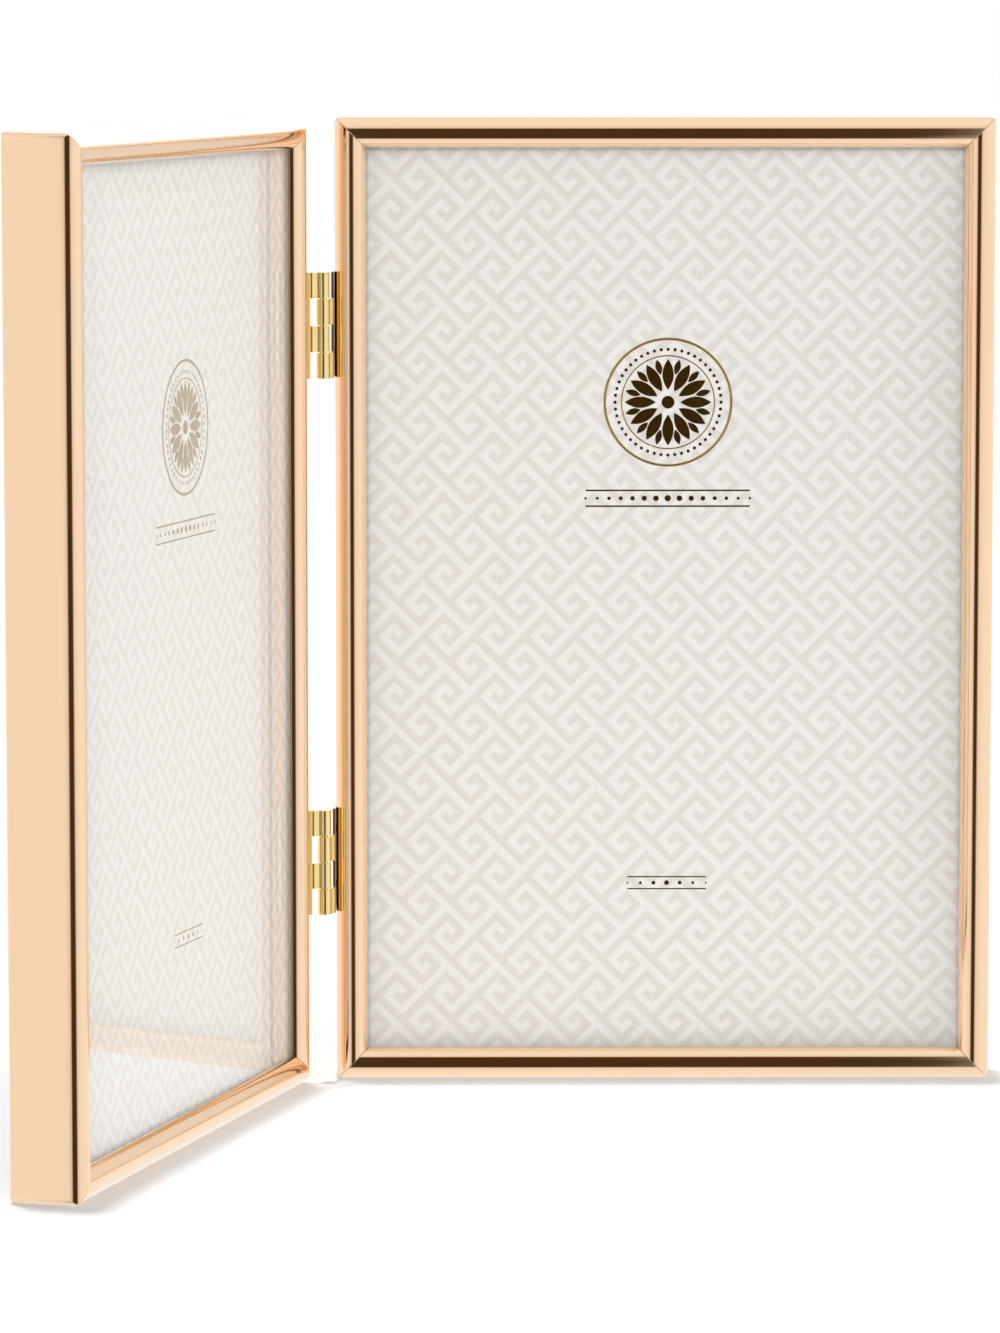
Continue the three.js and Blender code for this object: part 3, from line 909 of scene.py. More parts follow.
def fibrous(name, colour, scale, grain, contrast, roughness, depth, sheen=None):
    """A matt finish with mottle and fibres."""
    material, tree = new_material(name)
    light = linear(colour)
    sockets = {
        "Place": object_place(tree),
        "Scale": scale,
        "Grain": grain,
        "Light": light,
        "Dark": dimmed(light, (contrast, contrast, contrast)),
    }
    tint = grouped(tree, cloudy_tint(), sockets)
    sockets = {
        "Base Color": tint["Colour"],
        "Roughness": ranged(tree, tint["Cloud"], roughness - MATT_SPREAD, roughness + MATT_SPREAD),
        "Normal": bump(tree, tint["Fibre"], depth),
        **(sheen or {}),
    }
    end_principled(tree, sockets)
    return material


# Moulding

def rail_section(edge):
    """The moulding's section: X inwards from the outer face, Y back from the front of the bead."""
    slot_front = CLIP_FRONT - SLOT_PLAY
    slot_back = CLIP_BACK + SLOT_PLAY
    bend = edge / 2
    to_lip = math.acos((BEAD_RADIUS - LIP_BACK) / BEAD_RADIUS)
    return rounded_outline(
        [
            (0, RAIL_DEPTH, edge),
            (0, 0, BEAD_RADIUS),
            (BEAD_RADIUS + BEAD_RADIUS * math.tan(to_lip / 2), 0, BEAD_RADIUS),
            (BEAD_WIDTH, LIP_BACK, 0),
            (RABBET_WALL, LIP_BACK, 0),
            (RABBET_WALL, slot_front, bend),
            (RABBET_WALL - WALL, slot_front, bend),
            (RABBET_WALL - WALL, LIP_BACK, 0),
            (WALL, LIP_BACK, 0),
            (WALL, slot_back, 0),
            (RABBET_WALL, slot_back, bend),
            (RABBET_WALL, RAIL_DEPTH, edge),
        ]
    )


def mitred_moulding():
    """Geometry Nodes: a section swept along Z, with both ends cut back as far as they lie inwards."""
    tree, given = new_group(
        "Mitred moulding",
        "GeometryNodeTree",
        {"Section": "Geometry", "Length": "Float", "Setback": "Float", "Finish": "Material"},
        {"Rail": "Geometry"},
    )
    solid = raised(tree, given["Section"], given["Length"])
    parts = position_parts(tree)
    inset = calculate(tree, "ADD", parts["X"], given["Setback"])
    share = calculate(tree, "DIVIDE", parts["Z"], given["Length"])
    end = calculate(tree, "MULTIPLY_ADD", share, -2.0, 1.0)  # 1 at the start and -1 at the far end
    cut_back = vector(tree, Z=calculate(tree, "MULTIPLY", inset, end))
    mitred = result(tree, "GeometryNodeSetPosition", {"Geometry": solid, "Offset": cut_back})
    return end_geometry(tree, mitred, "Rail", given["Finish"])


def leaf_rivet_places():
    """Where the leaves' rivets lie in a hinge's frame, as (depth, height) pairs."""
    places = []
    for hinge in HINGES:
        for end in HINGES:
            low, high = box_mm(f"{hinge}_hinge_right_rivet_{end}")
            middle = (low + high) / 2
            places.append((middle.y - PIN.y, middle.z))
    return places


def rail_holes(place):
    """Cutters for the leaves' rivets in a hinge side's outer wall, moved by a place."""
    outline = circle(0, 0, LEAF_RIVET_RADIUS + RIVET_GAP)
    holes = []
    for depth, height in leaf_rivet_places():
        hole = plate("rivet hole", outline, -CUT_MARGIN, WALL + CUT_MARGIN / 2)
        on_rail = shift(0, depth - PIN_AHEAD, height) @ rotation(QUARTER, "Y")
        holes.append(moved_mesh(hole, place @ on_rail))
    return holes


def corner_cutters(radius, length):
    """Cutters for a rail's share of its panel's two rounded outer corners."""
    past, off, reach = -CUT_MARGIN, -CORNER_OFF, radius + CUT_MARGIN
    corners = [(past, past, 0), (reach, past, 0), (reach, off, 0)]
    corners += [(off, off, radius), (off, reach, 0), (past, reach, 0)]
    outline = rounded_outline(corners)
    on_edge = Matrix(((1, 0, 0, 0), (0, 0, 1, 0), (0, 1, 0, 0), (0, 0, 0, 1)))  # Y and Z change places
    far_end = shift(0, 0, length) @ Matrix.Scale(-1, 4, (0, 0, 1))
    return [
        moved_mesh(plate("corner", outline, -CUT_MARGIN, RAIL_DEPTH + CUT_MARGIN), place)
        for place in (on_edge, far_end @ on_edge)
    ]


def with_places(mesh):
    """The mesh with each point's place on its rail kept for the finish."""
    places = mesh.attributes.new(PLACE_ATTRIBUTE, "FLOAT_VECTOR", "POINT")
    places.data.foreach_set("vector", [part for vertex in mesh.vertices for part in vertex.co])
    return mesh


class AddMoulding(bpy.types.Operator):
    """Make the eight mitred rails of gold moulding"""

    bl_idname = "photo_frame.add_moulding"
    bl_label = "Moulding"

    def execute(self, context):
        settings = context.scene.photo_frame_moulding
        gold = polished_gold(settings)
        tree = mitred_moulding()
        half = PANEL_WIDTH / 2
        uprights = {-1: shift(-half, 0, 0), 1: shift(half, 0, PANEL_HEIGHT) @ rotation(math.pi, "Y")}
        for side in SIDES:
            rails = {
                "top": (PANEL_WIDTH, shift(-half, 0, PANEL_HEIGHT) @ rotation(QUARTER, "Y")),
                "bottom": (PANEL_WIDTH, shift(half, 0, 0) @ rotation(-QUARTER, "Y")),
                "hinge_side": (PANEL_HEIGHT, uprights[-HANDS[side]]),
                "outer_side": (PANEL_HEIGHT, uprights[HANDS[side]]),
            }
            for where, (length, place) in rails.items():
                holes = []
                if where == "hinge_side":
                    holes = rail_holes(place.inverted() @ MIRRORS[side] @ shift(-half, 0, 0))
                add_piece(
                    f"{side}_moulding_{where}",
                    self.rail(tree, settings, gold, length, holes),
                    gold,
                    PANEL_PLACES[side] @ place,
                    PANEL_BODIES[side],
                    [f"{side}_rail_{where}"],
                )
        return {"FINISHED"}

    def rail(self, tree, settings, gold, length, holes):
        """One rail along Z, with its holes and its share of the rounded corners."""
        outline = rail_section(settings.edge_round / MM)
        section = new_object("section", flat_mesh("section", [(x, y, 0) for x, y in outline]))
        values = {"Length": length, "Setback": settings.mitre_setback / MM, "Finish": gold}
        mesh = cut(facing_out(worked(section, tree, values)), holes)
        mesh = softened(mesh, settings.mitre_round / MM)
        mesh = cut(mesh, corner_cutters(settings.corner_round / MM, length))
        return with_places(shaded(facing_out(mesh)))


# Hinges

def rolled_strip(bend, seam):
    """A knuckle's strip through the crank and round the pin, as (seat side, pin side) pairs of points."""
    slope = math.atan2(LEAF_SEAT - KNUCKLE_RADIUS, CRANK_END - CRANK_START)
    mitre = LEAF_THICKNESS * math.tan(slope / 2)
    run = bend * math.tan(slope / 2)
    outer = bend + LEAF_THICKNESS
    by_leaf = Vector((LEAF_FACE - bend, CRANK_END + mitre + run))
    by_pin = Vector((KNUCKLE_RADIUS + bend, CRANK_START - run))
    steps = round(slope / ROUND_STEP)
    turns = [slope * step / steps for step in range(steps + 1)]
    aims = [Vector((math.cos(turn), -math.sin(turn))) for turn in turns]
    pairs = [(by_leaf + aim * outer, by_leaf + aim * bend) for aim in aims]
    pairs += [(by_pin - aim * bend, by_pin - aim * outer) for aim in reversed(aims)]
    room = PIN_HOLE_RADIUS * math.cos(slope) - (CRANK_START + mitre) * math.sin(slope) - seam
    sweep = 2 * math.pi + slope - math.acos(room / KNUCKLE_RADIUS)
    steps = round(sweep / ROUND_STEP)
    for step in range(steps + 1):
        aim = Matrix.Rotation(-sweep * step / steps, 2) @ Vector((1, 0))
        pairs.append((aim * KNUCKLE_RADIUS, aim * PIN_HOLE_RADIUS))
    return pairs


def countersinks(middle):
    """Cutters for the rivets in a leaf whose middle lies at that height."""
    past = LEAF_THICKNESS / 4
    flare = (LEAF_RIVET_HEAD_RADIUS - LEAF_RIVET_RADIUS) / LEAF_THICKNESS * past
    wide = (LEAF_RIVET_HEAD_RADIUS + RIVET_GAP + flare, LEAF_FACE - past)
    narrow = (LEAF_RIVET_RADIUS + RIVET_GAP - flare, LEAF_SEAT + past)
    profile = [(0, wide[1]), wide, narrow, (0, narrow[1])]
    cutters = []
    for depth, height in leaf_rivet_places():
        if abs(height - middle) < HINGE_LENGTH / 2:
            on_leaf = shift(0, depth, height - middle) @ rotation(QUARTER, "Y")
            cutters.append(moved_mesh(turned("countersink", profile), on_leaf))
    return cutters


def leaf_mesh(side, middle, settings):
    """A leaf with its rolled knuckles and countersunk holes, its middle at height 0."""
    half = HINGE_LENGTH / 2
    corner = settings.corner_round / MM
    tops = [half - index * KNUCKLE_PITCH for index in range(FIRST_KNUCKLES[side], KNUCKLE_COUNT, 2)]
    ends = [half, -half, *tops, *(top - KNUCKLE_LENGTH for top in tops)]
    front = [(LEAF_FRONT, height, 0) for height in sorted(ends, reverse=True)]
    outline = rounded_outline([*front, (LEAF_BACK, -half, corner), (LEAF_BACK, half, corner)])
    pairs = rolled_strip(settings.crank_bend / MM, settings.roll_seam / MM)
    bm = bmesh.new()
    face, seat = ([bm.verts.new((x, *point)) for point in outline] for x in (LEAF_FACE, LEAF_SEAT))
    bm.faces.new(face)
    bm.faces.new(seat)
    for index, (depth, high) in enumerate(outline):
        low = outline[index - 1].y
        edge = [seat[index - 1], seat[index], face[index], face[index - 1]]
        on_front = max(depth, outline[index - 1].x) < LEAF_FRONT + MM
        if on_front and any(top - KNUCKLE_LENGTH < (low + high) / 2 < top for top in tops):
            for outer, inner in pairs:
                places = ((*outer, low), (*outer, high), (*inner, high), (*inner, low))
                following = [bm.verts.new(place) for place in places]
                for turn in range(4):
                    bm.faces.new((edge[turn - 1], edge[turn], following[turn], following[turn - 1]))
                edge = following
        bm.faces.new(edge)
    leaf = softened(mesh_from(bm, "leaf"), settings.edge_round / MM)
    mesh = moved_mesh(cut(leaf, countersinks(middle)), MIRRORS[side])
    return shaded(facing_out(mesh))


class AddHingeLeaves(bpy.types.Operator):
    """Make the four cranked leaves with their rolled knuckles"""

    bl_idname = "photo_frame.add_hinge_leaves"
    bl_label = "Hinge leaves"

    def execute(self, context):
        settings = context.scene.photo_frame_hinges
        for side in SIDES:
            for hinge, middle in HINGE_MIDDLES.items():
                add_piece(
                    f"{hinge}_{side}_hinge_plate",
                    leaf_mesh(side, middle, settings),
                    rolled_brass(settings),
                    HINGE_PLACES[side] @ shift(0, 0, middle),
                    PANEL_BODIES[side],
                    [f"{hinge}_hinge_{side}_leaf"],
                )
        return {"FINISHED"}


class AddHingePins(bpy.types.Operator):
    """Make the two hinge pins with crowned ends"""

    bl_idname = "photo_frame.add_hinge_pins"
    bl_label = "Hinge pins"

    def execute(self, context):
        crown = PIN_RADIUS / 3
        upper = dome(PIN_RADIUS, crown, HINGE_LENGTH / 2 - crown)
        lower = [(radius, -height) for radius, height in reversed(upper)]
        for hinge, middle in HINGE_MIDDLES.items():
            add_piece(
                f"{hinge}_knuckle_pin",
                shaded(turned("pin", lower + upper)),
                rolled_brass(context.scene.photo_frame_hinges),
                AT_PIN @ shift(0, 0, middle),
                PANEL_BODIES["right"],
                [f"{hinge}_hinge_pin"],
            )
        return {"FINISHED"}


# Rivets

def riveted():
    """Geometry Nodes: one rivet at each point, turned about X and Y."""
    name = "Riveted"
    if name in bpy.data.node_groups:
        return bpy.data.node_groups[name]
    tree, given = new_group(
        name,
        "GeometryNodeTree",
        {"Points": "Geometry", "Rivet": "Object", "Turn": "Vector", "Finish": "Material"},
        {"Rivets": "Geometry"},
    )
    sockets = {"Object": given["Rivet"], "As Instance": True}
    rivet = result(tree, "GeometryNodeObjectInfo", sockets, "Geometry")
    copies = copied(tree, given["Points"], rivet, Rotation=given["Turn"])
    return end_geometry(tree, copies, "Rivets", given["Finish"])


def rivet_mesh(profile, places, turn, material):
    """One mesh with a rivet of a profile at each place."""
    pattern = new_object("rivet", turned("rivet", profile))
    points = bpy.data.meshes.new("places")
    points.from_pydata(places, [], [])
    values = {"Rivet": pattern, "Turn": Vector(turn), "Finish": material}
    mesh = worked(new_object("places", points), riveted(), values)
    removed(pattern)
    return shaded(facing_out(mesh))


class AddHingeRivets(bpy.types.Operator):
    """Make the flush rivets that hold the leaves to the rails"""

    bl_idname = "photo_frame.add_hinge_rivets"
    bl_label = "Hinge rivets"

    def execute(self, context):
        brass = rolled_brass(context.scene.photo_frame_hinges)
        inside = PIN_OUT + WALL + RIVET_GAP
        tail = dome(LEAF_RIVET_TAIL_RADIUS, LEAF_RIVET_TAIL, inside)
        crown = dome(LEAF_RIVET_HEAD_RADIUS, LEAF_RIVET_CROWN, LEAF_FACE)
        head = [(radius, 2 * LEAF_FACE - height) for radius, height in reversed(crown)]
        profile = [*head, (LEAF_RIVET_RADIUS, LEAF_SEAT), (LEAF_RIVET_RADIUS, inside), *tail]
        places = [(0, depth, height) for depth, height in leaf_rivet_places()]
        for side in SIDES:
            add_piece(
                f"{side}_hinge_rivets",
                rivet_mesh(profile, places, (0, HANDS[side] * QUARTER, 0), brass),
                brass,
                HINGE_PLACES[side],
                PANEL_BODIES[side],
                [f"{hinge}_hinge_{side}_rivet_{end}" for hinge in HINGES for end in HINGES],
            )
        return {"FINISHED"}


class AddClipRivets(bpy.types.Operator):
    """Make the domed rivets that the turn clips swivel on"""

    bl_idname = "photo_frame.add_clip_rivets"
    bl_label = "Clip rivets"

    def execute(self, context):
        zinc = zinc_plate(context.scene.photo_frame_back)
        under_head = CLIP_BACK + RUNNING_GAP
        profile = [
            (0, BOARD_FRONT),
            (CLIP_RIVET_TAIL_RADIUS, BOARD_FRONT),
            (CLIP_RIVET_RADIUS, BOARD_FRONT + CLIP_RIVET_TAIL),
            (CLIP_RIVET_RADIUS, under_head),
            (CLIP_RIVET_HEAD_RADIUS - CLIP_RIVET_DRAFT, under_head),
            *dome(CLIP_RIVET_HEAD_RADIUS, CLIP_RIVET_HEAD - CLIP_RIVET_RIM, under_head + CLIP_RIVET_RIM),
        ]
        places = [(pivot.x, 0, pivot.z) for pivot in CLIP_PIVOTS.values()]
        for side in SIDES:
            add_piece(
                f"{side}_back_rivets",
                rivet_mesh(profile, places, (-QUARTER, 0, 0), zinc),
                zinc,
                PANEL_PLACES[side],
                PANEL_BODIES[side],
                [f"{side}_clip_rivet_{corner}" for corner in CORNERS],
            )
        return {"FINISHED"}


# Backs

class AddTurnClips(bpy.types.Operator):
    """Make the eight turn clips that hold the backs in"""

    bl_idname = "photo_frame.add_turn_clips"
    bl_label = "Turn clips"

    def execute(self, context):
        settings = context.scene.photo_frame_back
        spread = math.asin(CLIP_HALF_WIDTH / CLIP_REACH)
        outline = arc(CLIP_HALF_WIDTH, QUARTER, math.pi, CLIP_TAIL_STEPS)
        outline += arc(CLIP_REACH, -spread, 2 * spread, CLIP_TIP_STEPS)
        hole_radius = CLIP_RIVET_RADIUS + RUNNING_GAP
        for side in SIDES:
            for corner, pivot in CLIP_PIVOTS.items():
                mesh = softened(plate("clip", outline, CLIP_FRONT, CLIP_BACK), settings.clip_edge / MM)
                across = 0 if pivot.x > 0 else math.pi
                on_panel = shift(pivot.x, 0, pivot.z) @ rotation(-QUARTER, "X") @ rotation(across, "Z")
                node = f"{side}_turn_clip_{corner}"
                add_piece(
                    f"{side}_swivel_clip_{corner}",
                    shaded(pierced(mesh, [(0, 0)], hole_radius, CLIP_FRONT, CLIP_BACK)),
                    zinc_plate(settings),
                    PANEL_PLACES[side] @ on_panel,
                    frame["nodes"][node]["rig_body"],
                    [node],
                )
        return {"FINISHED"}


class AddVelvet(bpy.types.Operator):
    """Make the velvet covers of the two backs"""

    bl_idname = "photo_frame.add_velvet"
    bl_label = "Velvet"

    def execute(self, context):
        settings = context.scene.photo_frame_back
        pile = fibrous(
            "Velvet pile",
            settings.velvet,
            scale=60.0,
            grain=2600.0,
            contrast=0.3,
            roughness=0.92,
            depth=1.2e-4,
            sheen={"Sheen Weight": 0.25, "Sheen Roughness": 0.4},
        )
        size = VELVET_HIGH - VELVET_LOW
        middle = (VELVET_HIGH + VELVET_LOW) / 2
        outline = [(size.x / 2 * x, size.z / 2 * y) for x, y in ((-1, -1), (1, -1), (1, 1), (-1, 1))]
        low, high = VELVET_LOW.y - PANEL_FRONT, VELVET_HIGH.y - PANEL_FRONT
        holes = [(pivot.x, middle.z - pivot.z) for pivot in CLIP_PIVOTS.values()]
        for side in SIDES:
            mesh = softened(plate("velvet", outline, low, high), settings.velvet_edge / MM)
            piece = add_piece(
                f"{side}_velvet_cover",
                shaded(pierced(mesh, holes, CLIP_RIVET_RADIUS + RIVET_GAP, low, high)),
                pile,
                PANEL_PLACES[side] @ shift(0, 0, middle.z) @ rotation(-QUARTER, "X"),
                PANEL_BODIES[side],
                [f"{side}_velvet_backing"],
            )
        return {"FINISHED"}


class DressLayers(bpy.types.Operator):
    """Finish the glass, boards and corner keys, which keep their solids"""

    bl_idname = "photo_frame.dress_layers"
    bl_label = "Glass, boards and keys"

    def execute(self, context):
        settings = context.scene.photo_frame_back
        glass = clear_glass()
        card = fibrous(
            "Grey card",
            settings.card,
            scale=160.0,
            grain=3000.0,
            contrast=0.82,
            roughness=0.9,
            depth=2e-5,
        )
        board = fibrous(
            "Hardboard",
            settings.hardboard,
            scale=240.0,
            grain=1800.0,
            contrast=0.7,
            roughness=0.86,
            depth=5e-5,
        )
        for side in SIDES:
            dress(f"{side}_glass_pane", glass)
            dress(f"{side}_filler_card", card)
            dress(f"{side}_backboard", board)
            for corner in CORNERS:
                dress(f"{side}_corner_key_{corner}", zinc_plate(settings))
        return {"FINISHED"}


# Inserts

# The rosette's parts, as shares of its radius
LONG_PETALS = (0.43, 0.24, 0.088)  # middle, half length and half width
SHORT_PETALS = (0.56, 0.12, 0.05)
BANDS = ((0.96, 0.04), (0.71, 0.02))  # inner radius and width
BEAD_RING = 0.82
BEAD = 0.026
BOSS = 0.1
BEADS_PER_PETAL = 4.0

# The rule's parts, as shares of its height
RULE_DOT = 0.2
RULE_BAR = 0.1
RULE_TAPER = -0.6  # change of a dot's size from the middle to an end

PETAL_SIDES = 28
BAND_SIDES = 96
BEAD_SIDES = 12
DOT_SIDES = 20


class DressInserts(bpy.types.Operator):
    """Print the fret on the two paper inserts"""

    bl_idname = "photo_frame.dress_inserts"
    bl_label = "Printed inserts"

    def execute(self, context):
        lattice = fret_lattice()
        for side in SIDES:
            paper = printed_paper(side, context.scene.photo_frame_inserts, lattice)
            dress(f"{side}_photo_insert", paper)
        return {"FINISHED"}


def ring(tree, sides, radius, fill="NONE"):
    """Geometry Nodes: a flat ring of edges, or a disc if it is filled."""
    return result(tree, "GeometryNodeMeshCircle", {"Vertices": sides, "Radius": radius}, fill_type=fill)


def disc(tree, sides, radius):
    """Geometry Nodes: a flat disc."""
    return ring(tree, sides, radius, "NGON")


def end_foil(tree, flat, given):
    """Geometry Nodes: the tree ended with its flat shapes raised into foil."""
    plain = result(tree, "GeometryNodeRealizeInstances", {"Geometry": flat})
    return end_geometry(tree, raised(tree, plain, given["Thickness"]), "Foil", given["Finish"])


def petal_ring(tree, petals, middle, length, width, start):
    """Geometry Nodes: pointed petals around a centre, the first at an angle of start steps."""
    parts = position_parts(tree)
    along = calculate(tree, "MULTIPLY_ADD", parts["X"], length, middle)
    pinch = calculate(tree, "MULTIPLY", parts["Y"], calculate(tree, "ABSOLUTE", parts["Y"]))
    shape = vector(tree, X=along, Y=calculate(tree, "MULTIPLY", pinch, width))
    sockets = {"Geometry": disc(tree, PETAL_SIDES, 1.0), "Position": shape}
    petal = result(tree, "GeometryNodeSetPosition", sockets)
    points = result(tree, "GeometryNodePoints", {"Count": petals})
    index = calculate(tree, "ADD", result(tree, "GeometryNodeInputIndex"), start)
    step = calculate(tree, "DIVIDE", 2 * math.pi, petals)
    return copied(tree, points, petal, Rotation=vector(tree, Z=calculate(tree, "MULTIPLY", index, step)))


def flat_band(tree, radius, width):
    """Geometry Nodes: a flat ring of a width, outside a radius."""
    outward = calculate_vector(tree, "NORMALIZE", result(tree, "GeometryNodeInputPosition"))
    sockets = {"Mesh": ring(tree, BAND_SIDES, radius), "Offset": outward, "Offset Scale": width}
    return result(tree, "GeometryNodeExtrudeMesh", sockets, "Mesh", mode="EDGES")


def foil_rosette():
    """Geometry Nodes: a round rosette with two rings of petals, a beaded ring and two bands."""
    tree, given = new_group(
        "Foil rosette",
        "GeometryNodeTree",
        {
            "Seed Mesh": "Geometry",
            "Radius": "Float",
            "Petals": "Int",
            "Thickness": "Float",
            "Finish": "Material",
        },
        {"Foil": "Geometry"},
    )

    def share(amount):
        return calculate(tree, "MULTIPLY", given["Radius"], amount)

    petals = given["Petals"]
    parts = [
        petal_ring(tree, petals, *(share(amount) for amount in amounts), start)
        for amounts, start in ((LONG_PETALS, 0.0), (SHORT_PETALS, 0.5))
    ]
    beads = ring(tree, calculate(tree, "MULTIPLY", petals, BEADS_PER_PETAL), share(BEAD_RING))
    parts.append(copied(tree, beads, disc(tree, BEAD_SIDES, share(BEAD))))
    parts.append(disc(tree, DOT_SIDES, share(BOSS)))
    parts += [flat_band(tree, share(radius), share(width)) for radius, width in BANDS]
    return end_foil(tree, joined_geometry(tree, parts), given)


def foil_rule():
    """Geometry Nodes: a row of dots that grow towards the middle, between two thin bars."""
    tree, given = new_group(
        "Foil rule",
        "GeometryNodeTree",
        {
            "Seed Mesh": "Geometry",
            "Length": "Float",
            "Height": "Float",
            "Dots": "Int",
            "Thickness": "Float",
            "Finish": "Material",
        },
        {"Foil": "Geometry"},
    )

    def share(amount):
        return calculate(tree, "MULTIPLY", given["Height"], amount)

    half = calculate(tree, "MULTIPLY", given["Length"], 0.5)
    pitch = calculate(tree, "DIVIDE", given["Length"], calculate(tree, "SUBTRACT", given["Dots"], 1.0))
    sockets = {
        "Count": given["Dots"],
        "Start Location": vector(tree, X=calculate(tree, "MULTIPLY", half, -1.0)),
        "Offset": vector(tree, X=pitch),
    }
    row = result(tree, "GeometryNodeMeshLine", sockets)
    outwards = calculate(tree, "DIVIDE", calculate(tree, "ABSOLUTE", position_parts(tree)["X"]), half)
    scale = calculate(tree, "MULTIPLY_ADD", outwards, RULE_TAPER, 1.0)
    parts = [copied(tree, row, disc(tree, DOT_SIDES, share(RULE_DOT)), Scale=scale)]
    for side in (0.5, -0.5):
        sockets = {"Size X": given["Length"], "Size Y": share(RULE_BAR), "Vertices X": 2, "Vertices Y": 2}
        bar = result(tree, "GeometryNodeMeshGrid", sockets)
        sockets = {"Geometry": bar, "Translation": vector(tree, Y=share(side))}
        parts.append(result(tree, "GeometryNodeTransform", sockets))
    return end_foil(tree, joined_geometry(tree, parts), given)


class AddFoil(bpy.types.Operator):
    """Stamp the foil ornaments on the two inserts"""

    bl_idname = "photo_frame.add_foil"
    bl_label = "Foil ornaments"

    def execute(self, context):
        settings = context.scene.photo_frame_inserts
        foil = stamped_foil(settings)
        thickness = settings.foil_thickness / MM
        rosette = foil_rosette()
        rule = foil_rule()
        medallion = {"Radius": settings.medallion_radius / MM, "Petals": settings.petals}
        ornaments = {
            "medallion": (rosette, MEDALLION_HEIGHT, medallion),
            "rule": (rule, RULE_HEIGHT, {"Length": 27.0, "Height": 2.6, "Dots": 15}),
            "tailpiece": (rule, TAILPIECE_HEIGHT, {"Length": 13.0, "Height": 2.0, "Dots": 7}),
        }
        for side in SIDES:
            for name, (tree, height, sizes) in ornaments.items():
                seed = new_object("seed", bpy.data.meshes.new("seed"))
                # Half of the foil lies in the paper
                values = {**sizes, "Thickness": thickness * 2, "Finish": foil}
                on_paper = shift(ORNAMENT_ACROSS, INSERT_FRONT + thickness, height)
                add_piece(
                    f"{side}_foil_{name}",
                    facing_out(worked(seed, tree, values)),
                    foil,
                    PANEL_PLACES[side] @ on_paper @ rotation(QUARTER, "X"),
                    PANEL_BODIES[side],
                )
        return {"FINISHED"}


# Stage, in metres

WHITE = (1, 1, 1, 1)
FLOOR_GREY = (0.78, 0.78, 0.78, 1)
FLOOR_RADIUS = 8
FLOOR_SIDES = 96
FLOOR_DROP = 2e-5  # below the frame's base

# Direction that each soft lamp shines in, and how wide it looks
LAMPS = {
    "front": ((0.05, 1, -0.25), math.radians(30)),
    "side": ((-1, 0.15, -0.25), math.radians(40)),
    "top": ((0.02, -0.035, -1), math.radians(2)),
}
SOFTBOX_RADIANCE = 1.45
SOFTBOX_PLACE = (0.35, 1.3, 0.65)
SOFTBOX_TARGET = (0, 0, 0.08)
SOFTBOX_SIZE = (1.3, 0.7)

OPENING_COLOUR = (0.065, 0.035, 0.012, 1)
OPENING_PLACE = (0.003, PANEL_FRONT * MM - 0.37, 0.045)
OPENING_CORE = (0.075, 1, 0.276)  # half of what is fully dim
OPENING_HALF_WIDTH = 1.1
OPENING_HALF_HEIGHT = 1.3
OPENING_NEAR_FADE = 0.03
OPENING_FAR_FADE = 0.2
OPENING_FAR_SHARE = 0.18


def seen_rays(tree):
    """1 on rays that show a surround: from the camera, off metal or through glass."""
    path = add_node(tree, "ShaderNodeLightPath").outputs
    mirrored = calculate(tree, "MAXIMUM", path["Is Glossy Ray"], path["Is Transmission Ray"])
    return calculate(tree, "MAXIMUM", path["Is Camera Ray"], mirrored)


def point_along(obj, direction):
    """Turns a lamp to shine along a direction."""
    obj.rotation_mode = "QUATERNION"
    obj.rotation_quaternion = Vector(direction).to_track_quat("-Z", "Y")


def hide_from(obj, *rays):
    """Keeps an object out of sight of some kinds of rays."""
    for kind in rays:
        setattr(obj, f"visible_{kind}", False)


